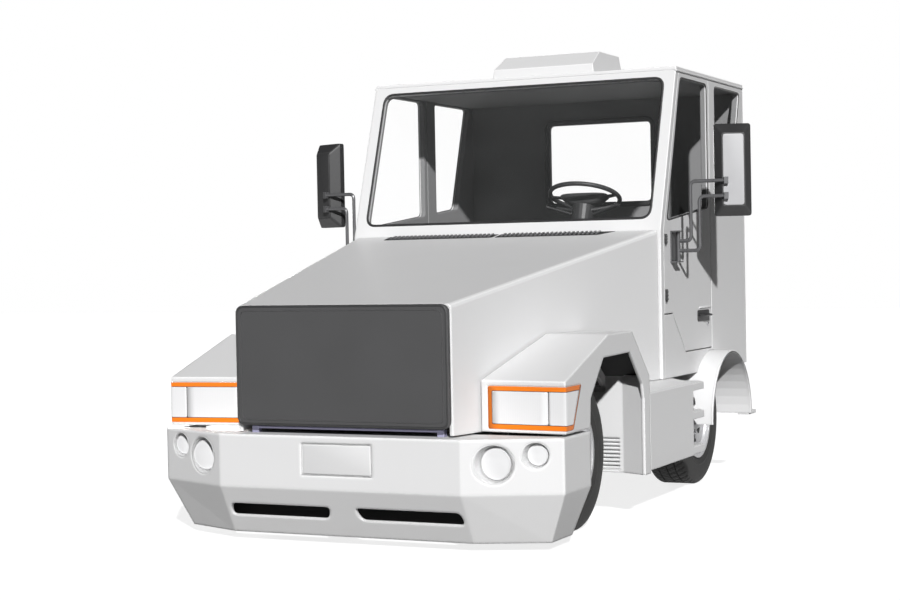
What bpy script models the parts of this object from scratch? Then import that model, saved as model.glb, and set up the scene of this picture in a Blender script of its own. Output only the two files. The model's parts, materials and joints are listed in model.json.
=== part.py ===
"""Bonneted tow tractor: a short two-axle tractor with a full-width cab behind a sloping tilt bonnet.

Metres, +Z up. The front faces -Y, the driver's side is +X, and the origin is on the ground under
the middle of the vehicle. Inside the script, y is measured back from the bumper's front face, and
the empty "tractor" carries everything to its place. Each moving group has an empty on its axis.
"""

import math

import bmesh
import bpy
from mathutils import Matrix, Vector

# ---------------------------------------------------------------- driving dimensions
LENGTH = 4.50  # bumper face to the tip of the tow coupling
TOUCH_GAP = 0.0004  # between pieces that touch
SWING_GAP = 0.008  # round a lid or a door

TYRE_RADIUS = 0.440
TYRE_WIDTH = 0.285
RIM_RADIUS = 0.250
RIM_FLANGE = 0.012
WHEEL_OUTER_X = 1.010
FRONT_AXLE_Y = 1.060
REAR_AXLE_Y = 3.350
KINGPIN_X = 0.800
WHEEL_STEPS = 32

RAIL_OUTER_X = 0.440
RAIL_WIDTH = 0.080
RAIL_BOTTOM = TYRE_RADIUS + 0.120
RAIL_TOP = RAIL_BOTTOM + 0.180

BUMPER_HALF = 1.250
BUMPER_NOSE_HALF = 0.748  # half width of the square-on middle
BUMPER_TOP = 0.622
BUMPER_CREASE = 0.327
BUMPER_BOTTOM = 0.050
BUMPER_CORNER_Y = 0.222
BUMPER_END_Y = 0.610
BUMPER_WALL = 0.018
BUMPER_SHELF = 0.300  # depth of the flat top

BUMPER_LAMPS = ((0.906, 0.488, 0.104), (1.109, 0.533, 0.069))  # x, z and radius of the holes
CHIN_SLOT = ((0.075, 0.226), (0.715, 0.226), (0.730, 0.158), (0.100, 0.158))
LAMP_RECESS = 0.045

HOOD_FRONT_Y = 0.088
HOOD_REAR_Y = 2.290
HOOD_FRONT_HALF = 0.668
HOOD_REAR_HALF = 1.081
HOOD_FRONT_TOP = 1.339
HOOD_REAR_TOP = 1.738
HOOD_BOTTOM = 0.632
HOOD_REAR_BOTTOM = 0.790
HOOD_WALL = 0.022
HOOD_AXIS_Y, HOOD_AXIS_Z = 0.085, 0.655
HOOD_TUCK = 0.035  # how far the bonnet's side reaches below the fender's edge
GRILLE_HALF = 0.660
GRILLE_BOTTOM = 0.668
GRILLE_THICK = 0.030

FENDER_X = 1.244
FENDER_WALL = 0.018
FENDER_GAP = 0.015  # to the side of the bonnet
FENDER_FRONT_Y = 0.268
FENDER_SWEEP = 0.117  # how far the front falls back per metre towards the middle
FENDER_BOTTOM = 0.637
FENDER_LIP = 0.916
FENDER_TOP = 1.139
FENDER_CREST_Y = 0.931
FENDER_FLAT_END_Y = 1.325
FENDER_REAR_Y = 1.620
FENDER_TAIL_TOP = 0.864
FENDER_TAIL_BOTTOM = 0.276
ARCH_FRONT_Y, ARCH_REAR_Y = 0.629, 1.525
SPLASH_WALL_X = 0.480  # inner end of the wall behind the front wheel
INNER_WING_TOP = 0.980

HEADLAMP_INNER_X = 0.769
HEADLAMP_LOW, HEADLAMP_HIGH = 0.653, 0.887
HEADLAMP_DEPTH = 0.110

STEP_FRONT_Y = 1.624
STEP_REAR_Y = 2.470
STEP_TREAD_REAR_Y = 2.745
STEP_INNER_X = 0.850
STEP_BOTTOM = 0.294
STEP_LEDGE_Z = 0.752
TREAD_TOPS = (0.347, 0.568)
TREAD_THICK = 0.045

CAB_HALF = 1.100
CAB_WALL = 0.050
CAB_FRONT_Y = 2.300
CAB_REAR_Y = 4.200
CAB_REAR_WALL = 0.030
CAB_BOTTOM = 0.790
CAB_SILL = 0.926  # underside of the floor
FLOOR_THICK = 0.030
SCUTTLE_Z = 1.740  # where the windscreen starts to lean back
SCREEN_RAKE = 0.3506  # metres back for each metre up
ROOF_EDGE_Z = 2.785
ROOF_TOP = ROOF_EDGE_Z + 0.022
ROOF_LINER_Z = ROOF_EDGE_Z - 0.040
ROOF_UNIT_HALF, ROOF_UNIT_TAPER = 0.385, 0.030
SCREEN_HALF = CAB_HALF - 0.082
SCREEN_LOW, SCREEN_HIGH = 1.822, ROOF_EDGE_Z - 0.053
REAR_WINDOW_HALF = 0.405
REAR_WINDOW_LOW, REAR_WINDOW_HIGH = 1.990, ROOF_EDGE_Z - 0.205
GLASS_THICK = 0.006

DOOR_THICK = 0.045
DOOR_FRONT_CLEAR = 0.006016  # between the front frame's rear face and the door
DOOR_FRONT_GAP = CAB_WALL * math.sqrt(1 + SCREEN_RAKE ** 2) + DOOR_FRONT_CLEAR  # behind the screen plane
DOOR_REAR_Y = 3.358
DOOR_BOTTOM = 0.945
DOOR_TOP = ROOF_EDGE_Z - SWING_GAP
DOOR_STEP_Z = 1.205
DOOR_CUT_Y = (2.518, 2.781)  # ends of the slanted lower corner
DOOR_AXIS_X, DOOR_AXIS_Y = CAB_HALF + 0.012, CAB_FRONT_Y + 0.068
WINDOW_TOP = DOOR_TOP - 0.040
WINDOW_SILL_Z, WINDOW_SILL_Y, WINDOW_SILL_SLOPE = 1.800, 2.423, 0.110
DOOR_WINDOW_REAR_Y = 3.318
QUARTER_FRONT_Y = 3.500
QUARTER_TOP_REAR_Y, QUARTER_LOW_REAR_Y = 4.118, 3.870

MUDGUARD_Z = TYRE_RADIUS + 0.012
MUDGUARD_RADIUS = TYRE_RADIUS + 0.030
MUDGUARD_WALL = 0.015
MUDGUARD_INNER_X = 0.740

MIRROR_PLACE = (1.475, 2.646, 2.118)
MIRROR_YAW = math.radians(22)
MIRROR_HALF = (0.117, 0.296)
MIRROR_FACE_HALF = (0.073, 0.234)
MIRROR_FACE_DEPTH = 0.061
MIRROR_RIM_DEPTH = 0.035
ARM_RADIUS = 0.012

STEERING_PLACE = (0.400, 2.800, 1.985)  # middle of the wheel
STEERING_TILT = math.radians(20)  # of the wheel's axis from the vertical, towards the driver
STEERING_RADIUS = 0.238
STEERING_RIM = 0.015
HUB_SECTIONS = ((-0.062, 0.105, 0.050), (-0.010, 0.175, 0.058))  # depth, half width, half length
COLUMN_ENDS = (-0.420, -0.075)  # along the axis, from the steering wheel's plane
COLUMN_RADII = (0.055, 0.075)

SEAT_X = 0.420
SEAT_FRONT_Y = 3.150
SEAT_TOP = 1.420
SEAT_DEPTH = 0.120  # thickness of the cushion
SEAT_BACK_TOP = 1.800

# ---------------------------------------------------------------- finishes
FINISHES = {
    "paint": ((0.78, 0.78, 0.79), 0.35, 0.0),
    "grille": ((0.08, 0.08, 0.085), 0.5, 0.0),
    "lamp": ((0.9, 0.9, 0.92), 0.15, 0.0),
    "tyre": ((0.015, 0.015, 0.016), 0.8, 0.0),
    "rim": ((0.60, 0.60, 0.62), 0.4, 0.3),
    "steel": ((0.10, 0.10, 0.105), 0.5, 0.6),
    "iron": ((0.12, 0.12, 0.13), 0.6, 0.5),
    "plastic": ((0.05, 0.05, 0.052), 0.5, 0.0),
    "lining": ((0.04, 0.04, 0.042), 0.8, 0.0),
    "fabric": ((0.06, 0.06, 0.07), 0.9, 0.0),
    "glass": ((0.9, 0.95, 0.95), 0.02, 0.0),
}


def make_material(name):
    colour, roughness, metallic = FINISHES[name]
    material = bpy.data.materials.new(name)
    material.use_nodes = True
    shader = material.node_tree.nodes["Principled BSDF"]
    shader.inputs["Base Color"].default_value = (*colour, 1.0)
    shader.inputs["Roughness"].default_value = roughness
    shader.inputs["Metallic"].default_value = metallic
    return material


for leftover in list(bpy.data.objects):
    bpy.data.objects.remove(leftover, do_unlink=True)
PARTS = bpy.data.collections.new("tow_tractor")
CUTTERS = bpy.data.collections.new("cutters")
bpy.context.scene.collection.children.link(PARTS)
bpy.context.scene.collection.children.link(CUTTERS)
MATERIALS = {name: make_material(name) for name in FINISHES}
TRACTOR = bpy.data.objects.new("tractor", None)
TRACTOR.location = (0, -LENGTH / 2, 0)
PARTS.objects.link(TRACTOR)


# ---------------------------------------------------------------- tools
def add_piece(name, data, finish):
    """A new object in the tractor's own frame."""
    piece = bpy.data.objects.new(name, data)
    PARTS.objects.link(piece)
    piece.parent = TRACTOR
    data.materials.append(MATERIALS[finish])
    return piece


def pivot(name, place, parent=TRACTOR):
    """An empty on a joint's axis, at a place in the tractor's frame."""
    empty = bpy.data.objects.new(name, None)
    PARTS.objects.link(empty)
    empty.parent = parent
    bpy.context.view_layer.update()
    empty.matrix_world = TRACTOR.matrix_world @ Matrix.Translation(place)
    bpy.context.view_layer.update()
    return empty


def hang_on(empty, *pieces):
    """Parent pieces to a pivot and leave them where they are."""
    for piece in pieces:
        piece.parent = empty
        piece.matrix_parent_inverse = empty.matrix_world.inverted() @ TRACTOR.matrix_world


def from_bmesh(name, shape, finish):
    bmesh.ops.recalc_face_normals(shape, faces=shape.faces)
    mesh = bpy.data.meshes.new(name)
    shape.to_mesh(mesh)
    shape.free()
    return add_piece(name, mesh, finish)


def box(name, low, high, finish="paint"):
    shape = bmesh.new()
    bmesh.ops.create_cube(shape, size=1.0)
    size = [b - a for a, b in zip(low, high)]
    middle = [(a + b) / 2 for a, b in zip(low, high)]
    bmesh.ops.scale(shape, vec=size, verts=shape.verts)
    bmesh.ops.translate(shape, vec=middle, verts=shape.verts)
    return from_bmesh(name, shape, finish)


AXIS_TURNS = {
    "X": Matrix(((0, 0, 1), (1, 0, 0), (0, 1, 0))).to_4x4(),
    "Y": Matrix(((1, 0, 0), (0, 0, -1), (0, 1, 0))).to_4x4(),
    "Z": Matrix.Identity(4),
}


def cylinder(name, place, axis, radius, length, finish="steel", segments=24):
    """A cylinder whose middle is at place."""
    shape = bmesh.new()
    bmesh.ops.create_cone(
        shape,
        cap_ends=True,
        segments=segments,
        radius1=radius,
        radius2=radius,
        depth=length,
        matrix=Matrix.Translation(place) @ AXIS_TURNS[axis],
    )
    return from_bmesh(name, shape, finish)


def as_mesh(obj):
    """Swap a curve object for a mesh object with its caps welded."""
    bpy.context.view_layer.update()
    evaluated = obj.evaluated_get(bpy.context.evaluated_depsgraph_get())
    mesh = bpy.data.meshes.new_from_object(evaluated)
    shape = bmesh.new()
    shape.from_mesh(mesh)
    bmesh.ops.remove_doubles(shape, verts=shape.verts, dist=1e-5)
    bmesh.ops.recalc_face_normals(shape, faces=shape.faces)
    shape.to_mesh(mesh)
    shape.free()
    name, turn = obj.name, obj.matrix_basis.copy()
    bpy.data.objects.remove(obj, do_unlink=True)
    piece = bpy.data.objects.new(name, mesh)
    PARTS.objects.link(piece)
    piece.parent = TRACTOR
    piece.matrix_basis = turn
    return piece


def outline(name, loops, axis, low, high, finish="paint", turn=None):
    """A flat outline with holes, the first loop outside, extruded from low to high along an axis.

    Points are (y, z) across X, (x, z) across Y and (x, y) across Z.
    """
    curve = bpy.data.curves.new(name, "CURVE")
    curve.dimensions = "2D"
    curve.fill_mode = "BOTH"
    curve.extrude = (high - low) / 2
    for loop in loops:
        spline = curve.splines.new("POLY")
        spline.points.add(len(loop) - 1)
        for point, (u, v) in zip(spline.points, loop):
            point.co = (u, v, 0, 1)
        spline.use_cyclic_u = True
    piece = add_piece(name, curve, finish)
    middle = {"X": (1, 0, 0), "Y": (0, 1, 0), "Z": (0, 0, 1)}[axis]
    offset = Matrix.Translation(Vector(middle) * (low + high) / 2)
    piece.matrix_basis = (turn or Matrix.Identity(4)) @ offset @ AXIS_TURNS[axis]
    return as_mesh(piece)


def rounded(points, radius, steps=4):
    """The outline with each corner turned into an arc of about the given radius."""
    found = []
    for i, corner in enumerate(points):
        before, corner, after = (Vector(p) for p in (points[i - 1], corner, points[(i + 1) % len(points)]))
        to_before, to_after = (before - corner), (after - corner)
        reach = min(radius, to_before.length / 2.2, to_after.length / 2.2)
        start = corner + to_before.normalized() * reach
        end = corner + to_after.normalized() * reach
        for step in range(steps + 1):
            t = step / steps
            found.append(tuple(start * (1 - t) ** 2 + corner * 2 * t * (1 - t) + end * t ** 2))
    return found


def rectangle(x0, x1, z0, z1):
    return [(x0, z0), (x1, z0), (x1, z1), (x0, z1)]


def bent(points, radius, steps=5):
    """A path in space whose inner corners are arcs of about the given radius."""
    path = [Vector(points[0])]
    for before, corner, after in zip(points, points[1:], points[2:]):
        before, corner, after = Vector(before), Vector(corner), Vector(after)
        start = corner + (before - corner).normalized() * radius
        end = corner + (after - corner).normalized() * radius
        for step in range(steps + 1):
            t = step / steps
            path.append(start * (1 - t) ** 2 + corner * 2 * t * (1 - t) + end * t ** 2)
    path.append(Vector(points[-1]))
    return path


def tube(name, path, radius, finish="steel", closed=False):
    curve = bpy.data.curves.new(name, "CURVE")
    curve.dimensions = "3D"
    curve.bevel_depth = radius
    curve.bevel_resolution = 2
    curve.use_fill_caps = not closed
    spline = curve.splines.new("POLY")
    spline.points.add(len(path) - 1)
    for point, place in zip(spline.points, path):
        point.co = (*place, 1)
    spline.use_cyclic_u = closed
    return as_mesh(add_piece(name, curve, finish))


def turned(name, profile, place, side, closed, finish):
    """A profile of (radius, distance outboard) points turned about the X axis through place."""
    mesh = bpy.data.meshes.new(name)
    edges = [(i, i + 1) for i in range(len(profile) - 1)]
    if closed:
        edges.append((len(profile) - 1, 0))
    mesh.from_pydata([(radius, 0, along) for radius, along in profile], edges, [])
    piece = add_piece(name, mesh, finish)
    piece.matrix_basis = Matrix.Translation(place) @ Matrix.Rotation(side * math.pi / 2, 4, "Y")
    screw = piece.modifiers.new("turn", "SCREW")
    screw.axis = "Z"
    screw.angle = 2 * math.pi
    screw.steps = WHEEL_STEPS
    screw.render_steps = WHEEL_STEPS
    screw.use_merge_vertices = True
    screw.merge_threshold = 1e-4
    screw.use_smooth_shade = True
    return piece


def loft(name, rings, finish="paint", closed=True):
    """A skin through rings of as many points each; a closed one gets both end faces."""
    shape = bmesh.new()
    rows = [[shape.verts.new(point) for point in ring] for ring in rings]
    count = len(rows[0])
    for row, following in zip(rows, rows[1:]):
        for i in range(count if closed else count - 1):
            j = (i + 1) % count
            shape.faces.new((row[i], row[j], following[j], following[i]))
    if closed:
        shape.faces.new(rows[0])
        shape.faces.new(rows[-1])
    return from_bmesh(name, shape, finish)


def solidify(piece, thickness, offset=-1.0):
    """Wall thickness; offset -1 puts it on the inner side of the faces."""
    wall = piece.modifiers.new("wall", "SOLIDIFY")
    wall.thickness = thickness
    wall.offset = offset
    wall.use_even_offset = True
    return piece


def boolean(piece, other, operation):
    step = piece.modifiers.new(operation.lower(), "BOOLEAN")
    step.operation = operation
    step.object = other
    PARTS.objects.unlink(other)
    CUTTERS.objects.link(other)
    other.hide_render = True
    other.display_type = "WIRE"
    return piece


def cut(piece, *cutters):
    for cutter in cutters:
        boolean(piece, cutter, "DIFFERENCE")
    return piece


def join(piece, *others):
    for other in others:
        boolean(piece, other, "UNION")
    return piece


def trim(piece, keeper):
    return boolean(piece, keeper, "INTERSECT")


def mirrored(piece, name):
    """The same piece on the other side of the tractor, as a finished mesh."""
    bpy.context.view_layer.update()
    evaluated = piece.evaluated_get(bpy.context.evaluated_depsgraph_get())
    mesh = bpy.data.meshes.new_from_object(evaluated)
    local = TRACTOR.matrix_world.inverted() @ piece.matrix_world
    mesh.transform(Matrix.Scale(-1, 4, (1, 0, 0)) @ local)
    mesh.flip_normals()
    twin = bpy.data.objects.new(name, mesh)
    PARTS.objects.link(twin)
    twin.parent = TRACTOR
    return twin


def pair(piece, stem):
    """Name a driver's side piece and add its twin."""
    piece.name = stem + "_left"
    return piece, mirrored(piece, stem + "_right")


# ---------------------------------------------------------------- shared places
def screen_y(z):
    """The outer face of the cab's front at a height."""
    return CAB_FRONT_Y + max(0.0, z - SCUTTLE_Z) * SCREEN_RAKE


def hood_half(y):
    """Half the width of the bonnet at a distance back."""
    share = (y - HOOD_FRONT_Y) / (HOOD_REAR_Y - HOOD_FRONT_Y)
    return HOOD_FRONT_HALF + share * (HOOD_REAR_HALF - HOOD_FRONT_HALF)


def sill_z(y):
    """The lower edge of the side windows."""
    return WINDOW_SILL_Z + (y - WINDOW_SILL_Y) * WINDOW_SILL_SLOPE


def grown(loop, by):
    """An outline moved outwards by a distance, for an outline that runs either way round."""
    area = sum(a[0] * b[1] - b[0] * a[1] for a, b in zip(loop, loop[1:] + loop[:1]))
    sign = 1 if area > 0 else -1
    found = []
    for i, point in enumerate(loop):
        before, after = Vector(loop[i - 1]), Vector(loop[(i + 1) % len(loop)])
        here = Vector(point)
        one, two = (here - before).normalized(), (after - here).normalized()
        normal_one = Vector((one.y, -one.x)) * sign
        normal_two = Vector((two.y, -two.x)) * sign
        middle = (normal_one + normal_two).normalized()
        found.append(tuple(here + middle * by / max(0.3, middle.dot(normal_one))))
    return found


def door_loop():
    """The door's outline, seen from the side."""
    lean = [(screen_y(z) + DOOR_FRONT_GAP, z) for z in (DOOR_STEP_Z, SCUTTLE_Z, DOOR_TOP)]
    rear = [(DOOR_REAR_Y, DOOR_TOP), (DOOR_REAR_Y, DOOR_BOTTOM)]
    corner = [(DOOR_CUT_Y[1], DOOR_BOTTOM), (DOOR_CUT_Y[0], DOOR_STEP_Z)]
    return lean + rear + corner


def door_window_loop():
    front_low = WINDOW_SILL_Y
    front_top = front_low + (WINDOW_TOP - WINDOW_SILL_Z) * SCREEN_RAKE
    rear = DOOR_WINDOW_REAR_Y
    loop = [(front_low, sill_z(front_low)), (rear, sill_z(rear)), (rear, WINDOW_TOP), (front_top, WINDOW_TOP)]
    return rounded(loop, 0.035)


def quarter_window_loop():
    low_rear = QUARTER_LOW_REAR_Y
    front = QUARTER_FRONT_Y
    loop = [(front, sill_z(front)), (low_rear, sill_z(low_rear)), (QUARTER_TOP_REAR_Y, WINDOW_TOP)]
    return rounded(loop + [(front, WINDOW_TOP)], 0.035)


def screen_turn():
    """From a flat plan (x, height along the slope) to the leaning front of the cab."""
    return Matrix.Translation((0, CAB_FRONT_Y, SCUTTLE_Z)) @ Matrix.Rotation(-math.atan(SCREEN_RAKE), 4, "X")


def screen_loop():
    slope = math.sqrt(1 + SCREEN_RAKE ** 2)
    low, high = (SCREEN_LOW - SCUTTLE_Z) * slope, (SCREEN_HIGH - SCUTTLE_Z) * slope
    return rounded(rectangle(-SCREEN_HALF, SCREEN_HALF, low, high), 0.06)


# ---------------------------------------------------------------- chassis and running gear
def make_chassis():
    """Two rails, their cross members and the blocks that carry the cab."""
    front, rear = BUMPER_SHELF + TOUCH_GAP, CAB_REAR_Y + 0.02
    inner_x = RAIL_OUTER_X - RAIL_WIDTH
    frame = box("chassis_frame", (inner_x, front, RAIL_BOTTOM), (RAIL_OUTER_X, rear, RAIL_TOP), "steel")
    others = [box("rail", (-RAIL_OUTER_X, front, RAIL_BOTTOM), (-inner_x, rear, RAIL_TOP), "steel")]
    for y in (front, 1.90, 2.85, rear - 0.06):
        low = (-inner_x - 0.01, y, RAIL_BOTTOM + 0.02)
        others.append(box("cross_member", low, (inner_x + 0.01, y + 0.06, RAIL_TOP - 0.02), "steel"))
    for y in (2.42, 3.98):
        for x in (inner_x, -RAIL_OUTER_X):
            low = (x + 0.005, y, RAIL_TOP - 0.01)
            high = (x + RAIL_WIDTH - 0.005, y + 0.10, CAB_SILL - TOUCH_GAP)
            others.append(box("cab_mount", low, high, "steel"))
    return join(frame, *others)


def make_engine():
    return box("engine_block", (-0.34, 0.42, 0.50), (0.34, 1.68, 1.20), "iron")


def spring_pack(y, z):
    """A leaf spring's side view, swept across its width, from the axle's top to the rail."""
    half, rise, leaf = 0.42, RAIL_BOTTOM - TOUCH_GAP - 0.045 - z, 0.045
    upper = [(y + half * t, z + leaf + rise * t * t) for t in (-1, -0.5, 0, 0.5, 1)]
    lower = [(y + half * t, z + rise * t * t) for t in (1, 0.5, 0, -0.5, -1)]
    return [upper + lower]


def make_axle(name, y, half_width, radius):
    """A beam along X with two spring packs over it."""
    beam = cylinder(name, (0, y, TYRE_RADIUS), "X", radius, 2 * half_width, "iron", 20)
    for x in (-0.435, 0.365):
        join(beam, outline("spring", spring_pack(y, TYRE_RADIUS + radius * 0.6), "X", x, x + 0.07, "iron"))
    return beam


def make_front_axle():
    axle = make_axle("front_axle", FRONT_AXLE_Y, 0.765, 0.055)
    for side in (-1, 1):
        place = (side * KINGPIN_X, FRONT_AXLE_Y, TYRE_RADIUS)
        join(axle, cylinder("boss", place, "Z", 0.042, 0.119, "iron", 20))
    return axle


def make_rear_axle():
    axle = make_axle("rear_axle", REAR_AXLE_Y, 0.74, 0.070)
    join(axle, cylinder("banjo", (0, REAR_AXLE_Y, TYRE_RADIUS), "X", 0.180, 0.24, "iron", 24))
    for side in (-1, 1):
        place = (side * 0.82, REAR_AXLE_Y, TYRE_RADIUS)
        join(axle, cylinder("hub", place, "X", 0.135, 0.20, "iron", 24))
    return axle


def make_knuckle():
    """The swivelling end of the front axle, with its arms over and under the kingpin boss."""
    y, z = FRONT_AXLE_Y, TYRE_RADIUS
    web = box("knuckle", (0.86, y - 0.05, z - 0.092), (0.90, y + 0.05, z + 0.092), "iron")
    for low in (z - 0.092, z + 0.062):
        join(web, box("arm", (0.758, y - 0.043, low), (0.87, y + 0.043, low + 0.03), "iron"))
    join(web, cylinder("drum", (0.907, y, z), "X", 0.135, 0.026, "iron", 24))
    return web


def tyre_profile():
    bead, crown, half = RIM_RADIUS + 0.0005, TYRE_RADIUS, TYRE_WIDTH / 2
    outer = [
        (bead, half - 0.0190),
        (bead + 0.0130, half - 0.0190),
        (bead + 0.0180, half - 0.0080),
        (bead + 0.0550, half),
        (crown - 0.0800, half),
        (crown - 0.0350, half - 0.0065),
        (crown - 0.0100, half - 0.0225),
        (crown, half - 0.0425),
    ]
    return outer + [(radius, -along) for radius, along in reversed(outer)]


def rim_profile():
    half = TYRE_WIDTH / 2 - 0.0185
    barrel, inner, flange = RIM_RADIUS, RIM_RADIUS - 0.012, RIM_RADIUS + RIM_FLANGE
    return [
        (0, 0.108),
        (0.055, 0.108),
        (0.070, 0.080),
        (0.110, 0.076),
        (0.190, 0.094),
        (inner, 0.085),
        (inner, half + 0.008),
        (flange, half + 0.008),
        (flange, half),
        (barrel, half),
        (barrel, -half),
        (flange, -half),
        (flange, -half - 0.008),
        (inner, -half - 0.008),
        (inner, 0.065),
        (0.190, 0.074),
        (0.110, 0.058),
        (0, 0.058),
    ]


def make_wheels():
    """Four tyres and rims; the front ones hang on their knuckles."""
    knuckle_left, knuckle_right = pair(make_knuckle(), "knuckle")
    wheel_x = WHEEL_OUTER_X - TYRE_WIDTH / 2
    for side, word, knuckle in ((1, "left", knuckle_left), (-1, "right", knuckle_right)):
        kingpin = pivot("kingpin_" + word, (side * KINGPIN_X, FRONT_AXLE_Y, TYRE_RADIUS))
        hang_on(kingpin, knuckle)
        for end, y, parent in (("front", FRONT_AXLE_Y, kingpin), ("rear", REAR_AXLE_Y, TRACTOR)):
            place = (side * wheel_x, y, TYRE_RADIUS)
            hub = pivot(f"hub_{end}_{word}", place, parent)
            tyre = turned(f"tyre_{end}_{word}", tyre_profile(), place, side, True, "tyre")
            rim = turned(f"rim_{end}_{word}", rim_profile(), place, side, False, "rim")
            hang_on(hub, tyre, rim)


# ---------------------------------------------------------------- front end
def bumper_ring(nose_half, nose_y, corner_x, corner_y, z):
    half = [(nose_half, nose_y, z), (corner_x, corner_y, z), (corner_x, BUMPER_END_Y, z)]
    return [(-x, y, h) for x, y, h in reversed(half)] + half


def make_bumper():
    """A pressed steel bumper: flat shelf, upright band, then a chin that tapers in."""
    shelf = [
        (-BUMPER_HALF + 0.06, BUMPER_END_Y, BUMPER_TOP),
        (-BUMPER_HALF + 0.06, BUMPER_SHELF, BUMPER_TOP),
        (-BUMPER_NOSE_HALF, BUMPER_SHELF, BUMPER_TOP),
        (BUMPER_NOSE_HALF, BUMPER_SHELF, BUMPER_TOP),
        (BUMPER_HALF - 0.06, BUMPER_SHELF, BUMPER_TOP),
        (BUMPER_HALF - 0.06, BUMPER_END_Y, BUMPER_TOP),
    ]
    rings = [
        shelf,
        bumper_ring(BUMPER_NOSE_HALF, 0, BUMPER_HALF, BUMPER_CORNER_Y, BUMPER_TOP),
        bumper_ring(BUMPER_NOSE_HALF, 0, BUMPER_HALF, BUMPER_CORNER_Y, BUMPER_CREASE),
        bumper_ring(0.751, 0.151, 1.133, 0.309, BUMPER_BOTTOM),
        bumper_ring(0.715, 0.235, 1.085, 0.360, BUMPER_BOTTOM),
    ]
    skin = solidify(loft("bumper", rings, closed=False), BUMPER_WALL)
    for side in (-1, 1):
        for x, z, radius in BUMPER_LAMPS:
            cut(skin, cylinder("lamp_hole", (side * x, 0.1, z), "Y", radius, 0.5, segments=28))
        slot = rounded([(side * x, z) for x, z in CHIN_SLOT], 0.03)
        cut(skin, outline("chin_slot", [slot], "Y", -0.1, 0.20))
    plate = rectangle(-0.220, 0.220, 0.404, 0.584)
    cut(skin, outline("plate_recess", [plate], "Y", -0.1, 0.008))
    return skin


def make_lamp_cluster():
    """Two round lamps on one carrier behind a corner of the bumper."""
    face_x, face_y = 0.915, 0.404  # along the corner face, from the nose outwards
    carrier_low, carrier_high = 0.40, 0.60
    start = Vector((0.80, 0.085 + 0.055))
    along = Vector((face_x, face_y))
    end = start + along * 0.42
    back = Vector((-face_y, face_x)) * 0.02
    plan = [tuple(p) for p in (start, end, end + back, start + back)]
    cluster = outline("lamp_cluster", [plan], "Z", carrier_low, carrier_high, "lamp")
    for x, z, radius in BUMPER_LAMPS:
        hole_y = (x - BUMPER_NOSE_HALF) * face_y / face_x
        front, rear = hole_y + LAMP_RECESS, hole_y + 0.16
        place = (x, (front + rear) / 2, z)
        join(cluster, cylinder("lamp", place, "Y", radius - 0.002, rear - front, "lamp", 28))
    return cluster


def fender_front_y(x):
    return FENDER_FRONT_Y + (FENDER_X - x) * FENDER_SWEEP


def fender_inner(y_outer, z):
    """Where the fender's edge that starts at y_outer meets the side of the bonnet."""
    x = hood_half(y_outer) + FENDER_GAP
    y = y_outer + (FENDER_X - x) * FENDER_SWEEP
    for _ in range(3):
        x = hood_half(y) + FENDER_GAP
        y = y_outer + (FENDER_X - x) * FENDER_SWEEP
    return (x, y, z)


def make_fender():
    """A pressed front fender: lamp face, sloped top, wheel arch and the wall behind the wheel."""
    edge = [
        (FENDER_FRONT_Y, FENDER_BOTTOM),
        (FENDER_FRONT_Y, FENDER_LIP),
        (FENDER_CREST_Y, FENDER_TOP),
        (FENDER_FLAT_END_Y, FENDER_TOP),
        (FENDER_REAR_Y, FENDER_TAIL_TOP),
        (FENDER_REAR_Y, FENDER_TAIL_BOTTOM),
    ]
    arch = [(ARCH_REAR_Y, FENDER_TAIL_BOTTOM), (ARCH_REAR_Y, 0.73), (1.497, 0.822), (1.292, 1.020)]
    arch += [(0.849, 1.012), (0.641, 0.80), (ARCH_FRONT_Y, FENDER_BOTTOM)]
    shape = bmesh.new()
    outer = [shape.verts.new((FENDER_X, y, z)) for y, z in edge]
    inner = []
    for y, z in edge:
        x, inner_y, _ = fender_inner(y, z)
        if y == FENDER_REAR_Y:
            x, inner_y = hood_half(y) + FENDER_GAP, y
        inner.append(shape.verts.new((x, inner_y, z)))
    for i in range(len(edge) - 1):
        shape.faces.new((outer[i], outer[i + 1], inner[i + 1], inner[i]))
    opening = [shape.verts.new((FENDER_X, y, z)) for y, z in arch]
    shape.faces.new(outer + opening)
    skin = solidify(from_bmesh("fender", shape, "paint"), FENDER_WALL)
    wall_low = (SPLASH_WALL_X, FENDER_REAR_Y - FENDER_WALL, FENDER_TAIL_BOTTOM)
    wall_high = (FENDER_X - 0.05, FENDER_REAR_Y, CAB_BOTTOM - 0.03)
    join(skin, box("splash_wall", wall_low, wall_high))
    wing_low = (SPLASH_WALL_X - 0.014, ARCH_FRONT_Y, RAIL_BOTTOM)
    wing_high = (SPLASH_WALL_X + 0.002, FENDER_REAR_Y, INNER_WING_TOP)
    join(skin, box("inner_wing", wing_low, wing_high))
    inner_x, wall_y = FENDER_X - FENDER_WALL / 2, FENDER_REAR_Y - FENDER_WALL / 2
    plan = [(inner_x, ARCH_REAR_Y), (inner_x, wall_y), (1.06, wall_y)]
    join(skin, outline("leg_return", [plan], "Z", FENDER_TAIL_BOTTOM, FENDER_TAIL_TOP))
    for row in range(9):
        low = 0.290 + row * 0.0235
        high = (1.055, FENDER_REAR_Y + 0.05, low + 0.008)
        cut(skin, box("louvre", (0.75, FENDER_REAR_Y - 0.05, low), high))
    cut(skin, headlamp_block(0.0006))
    return skin


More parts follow.
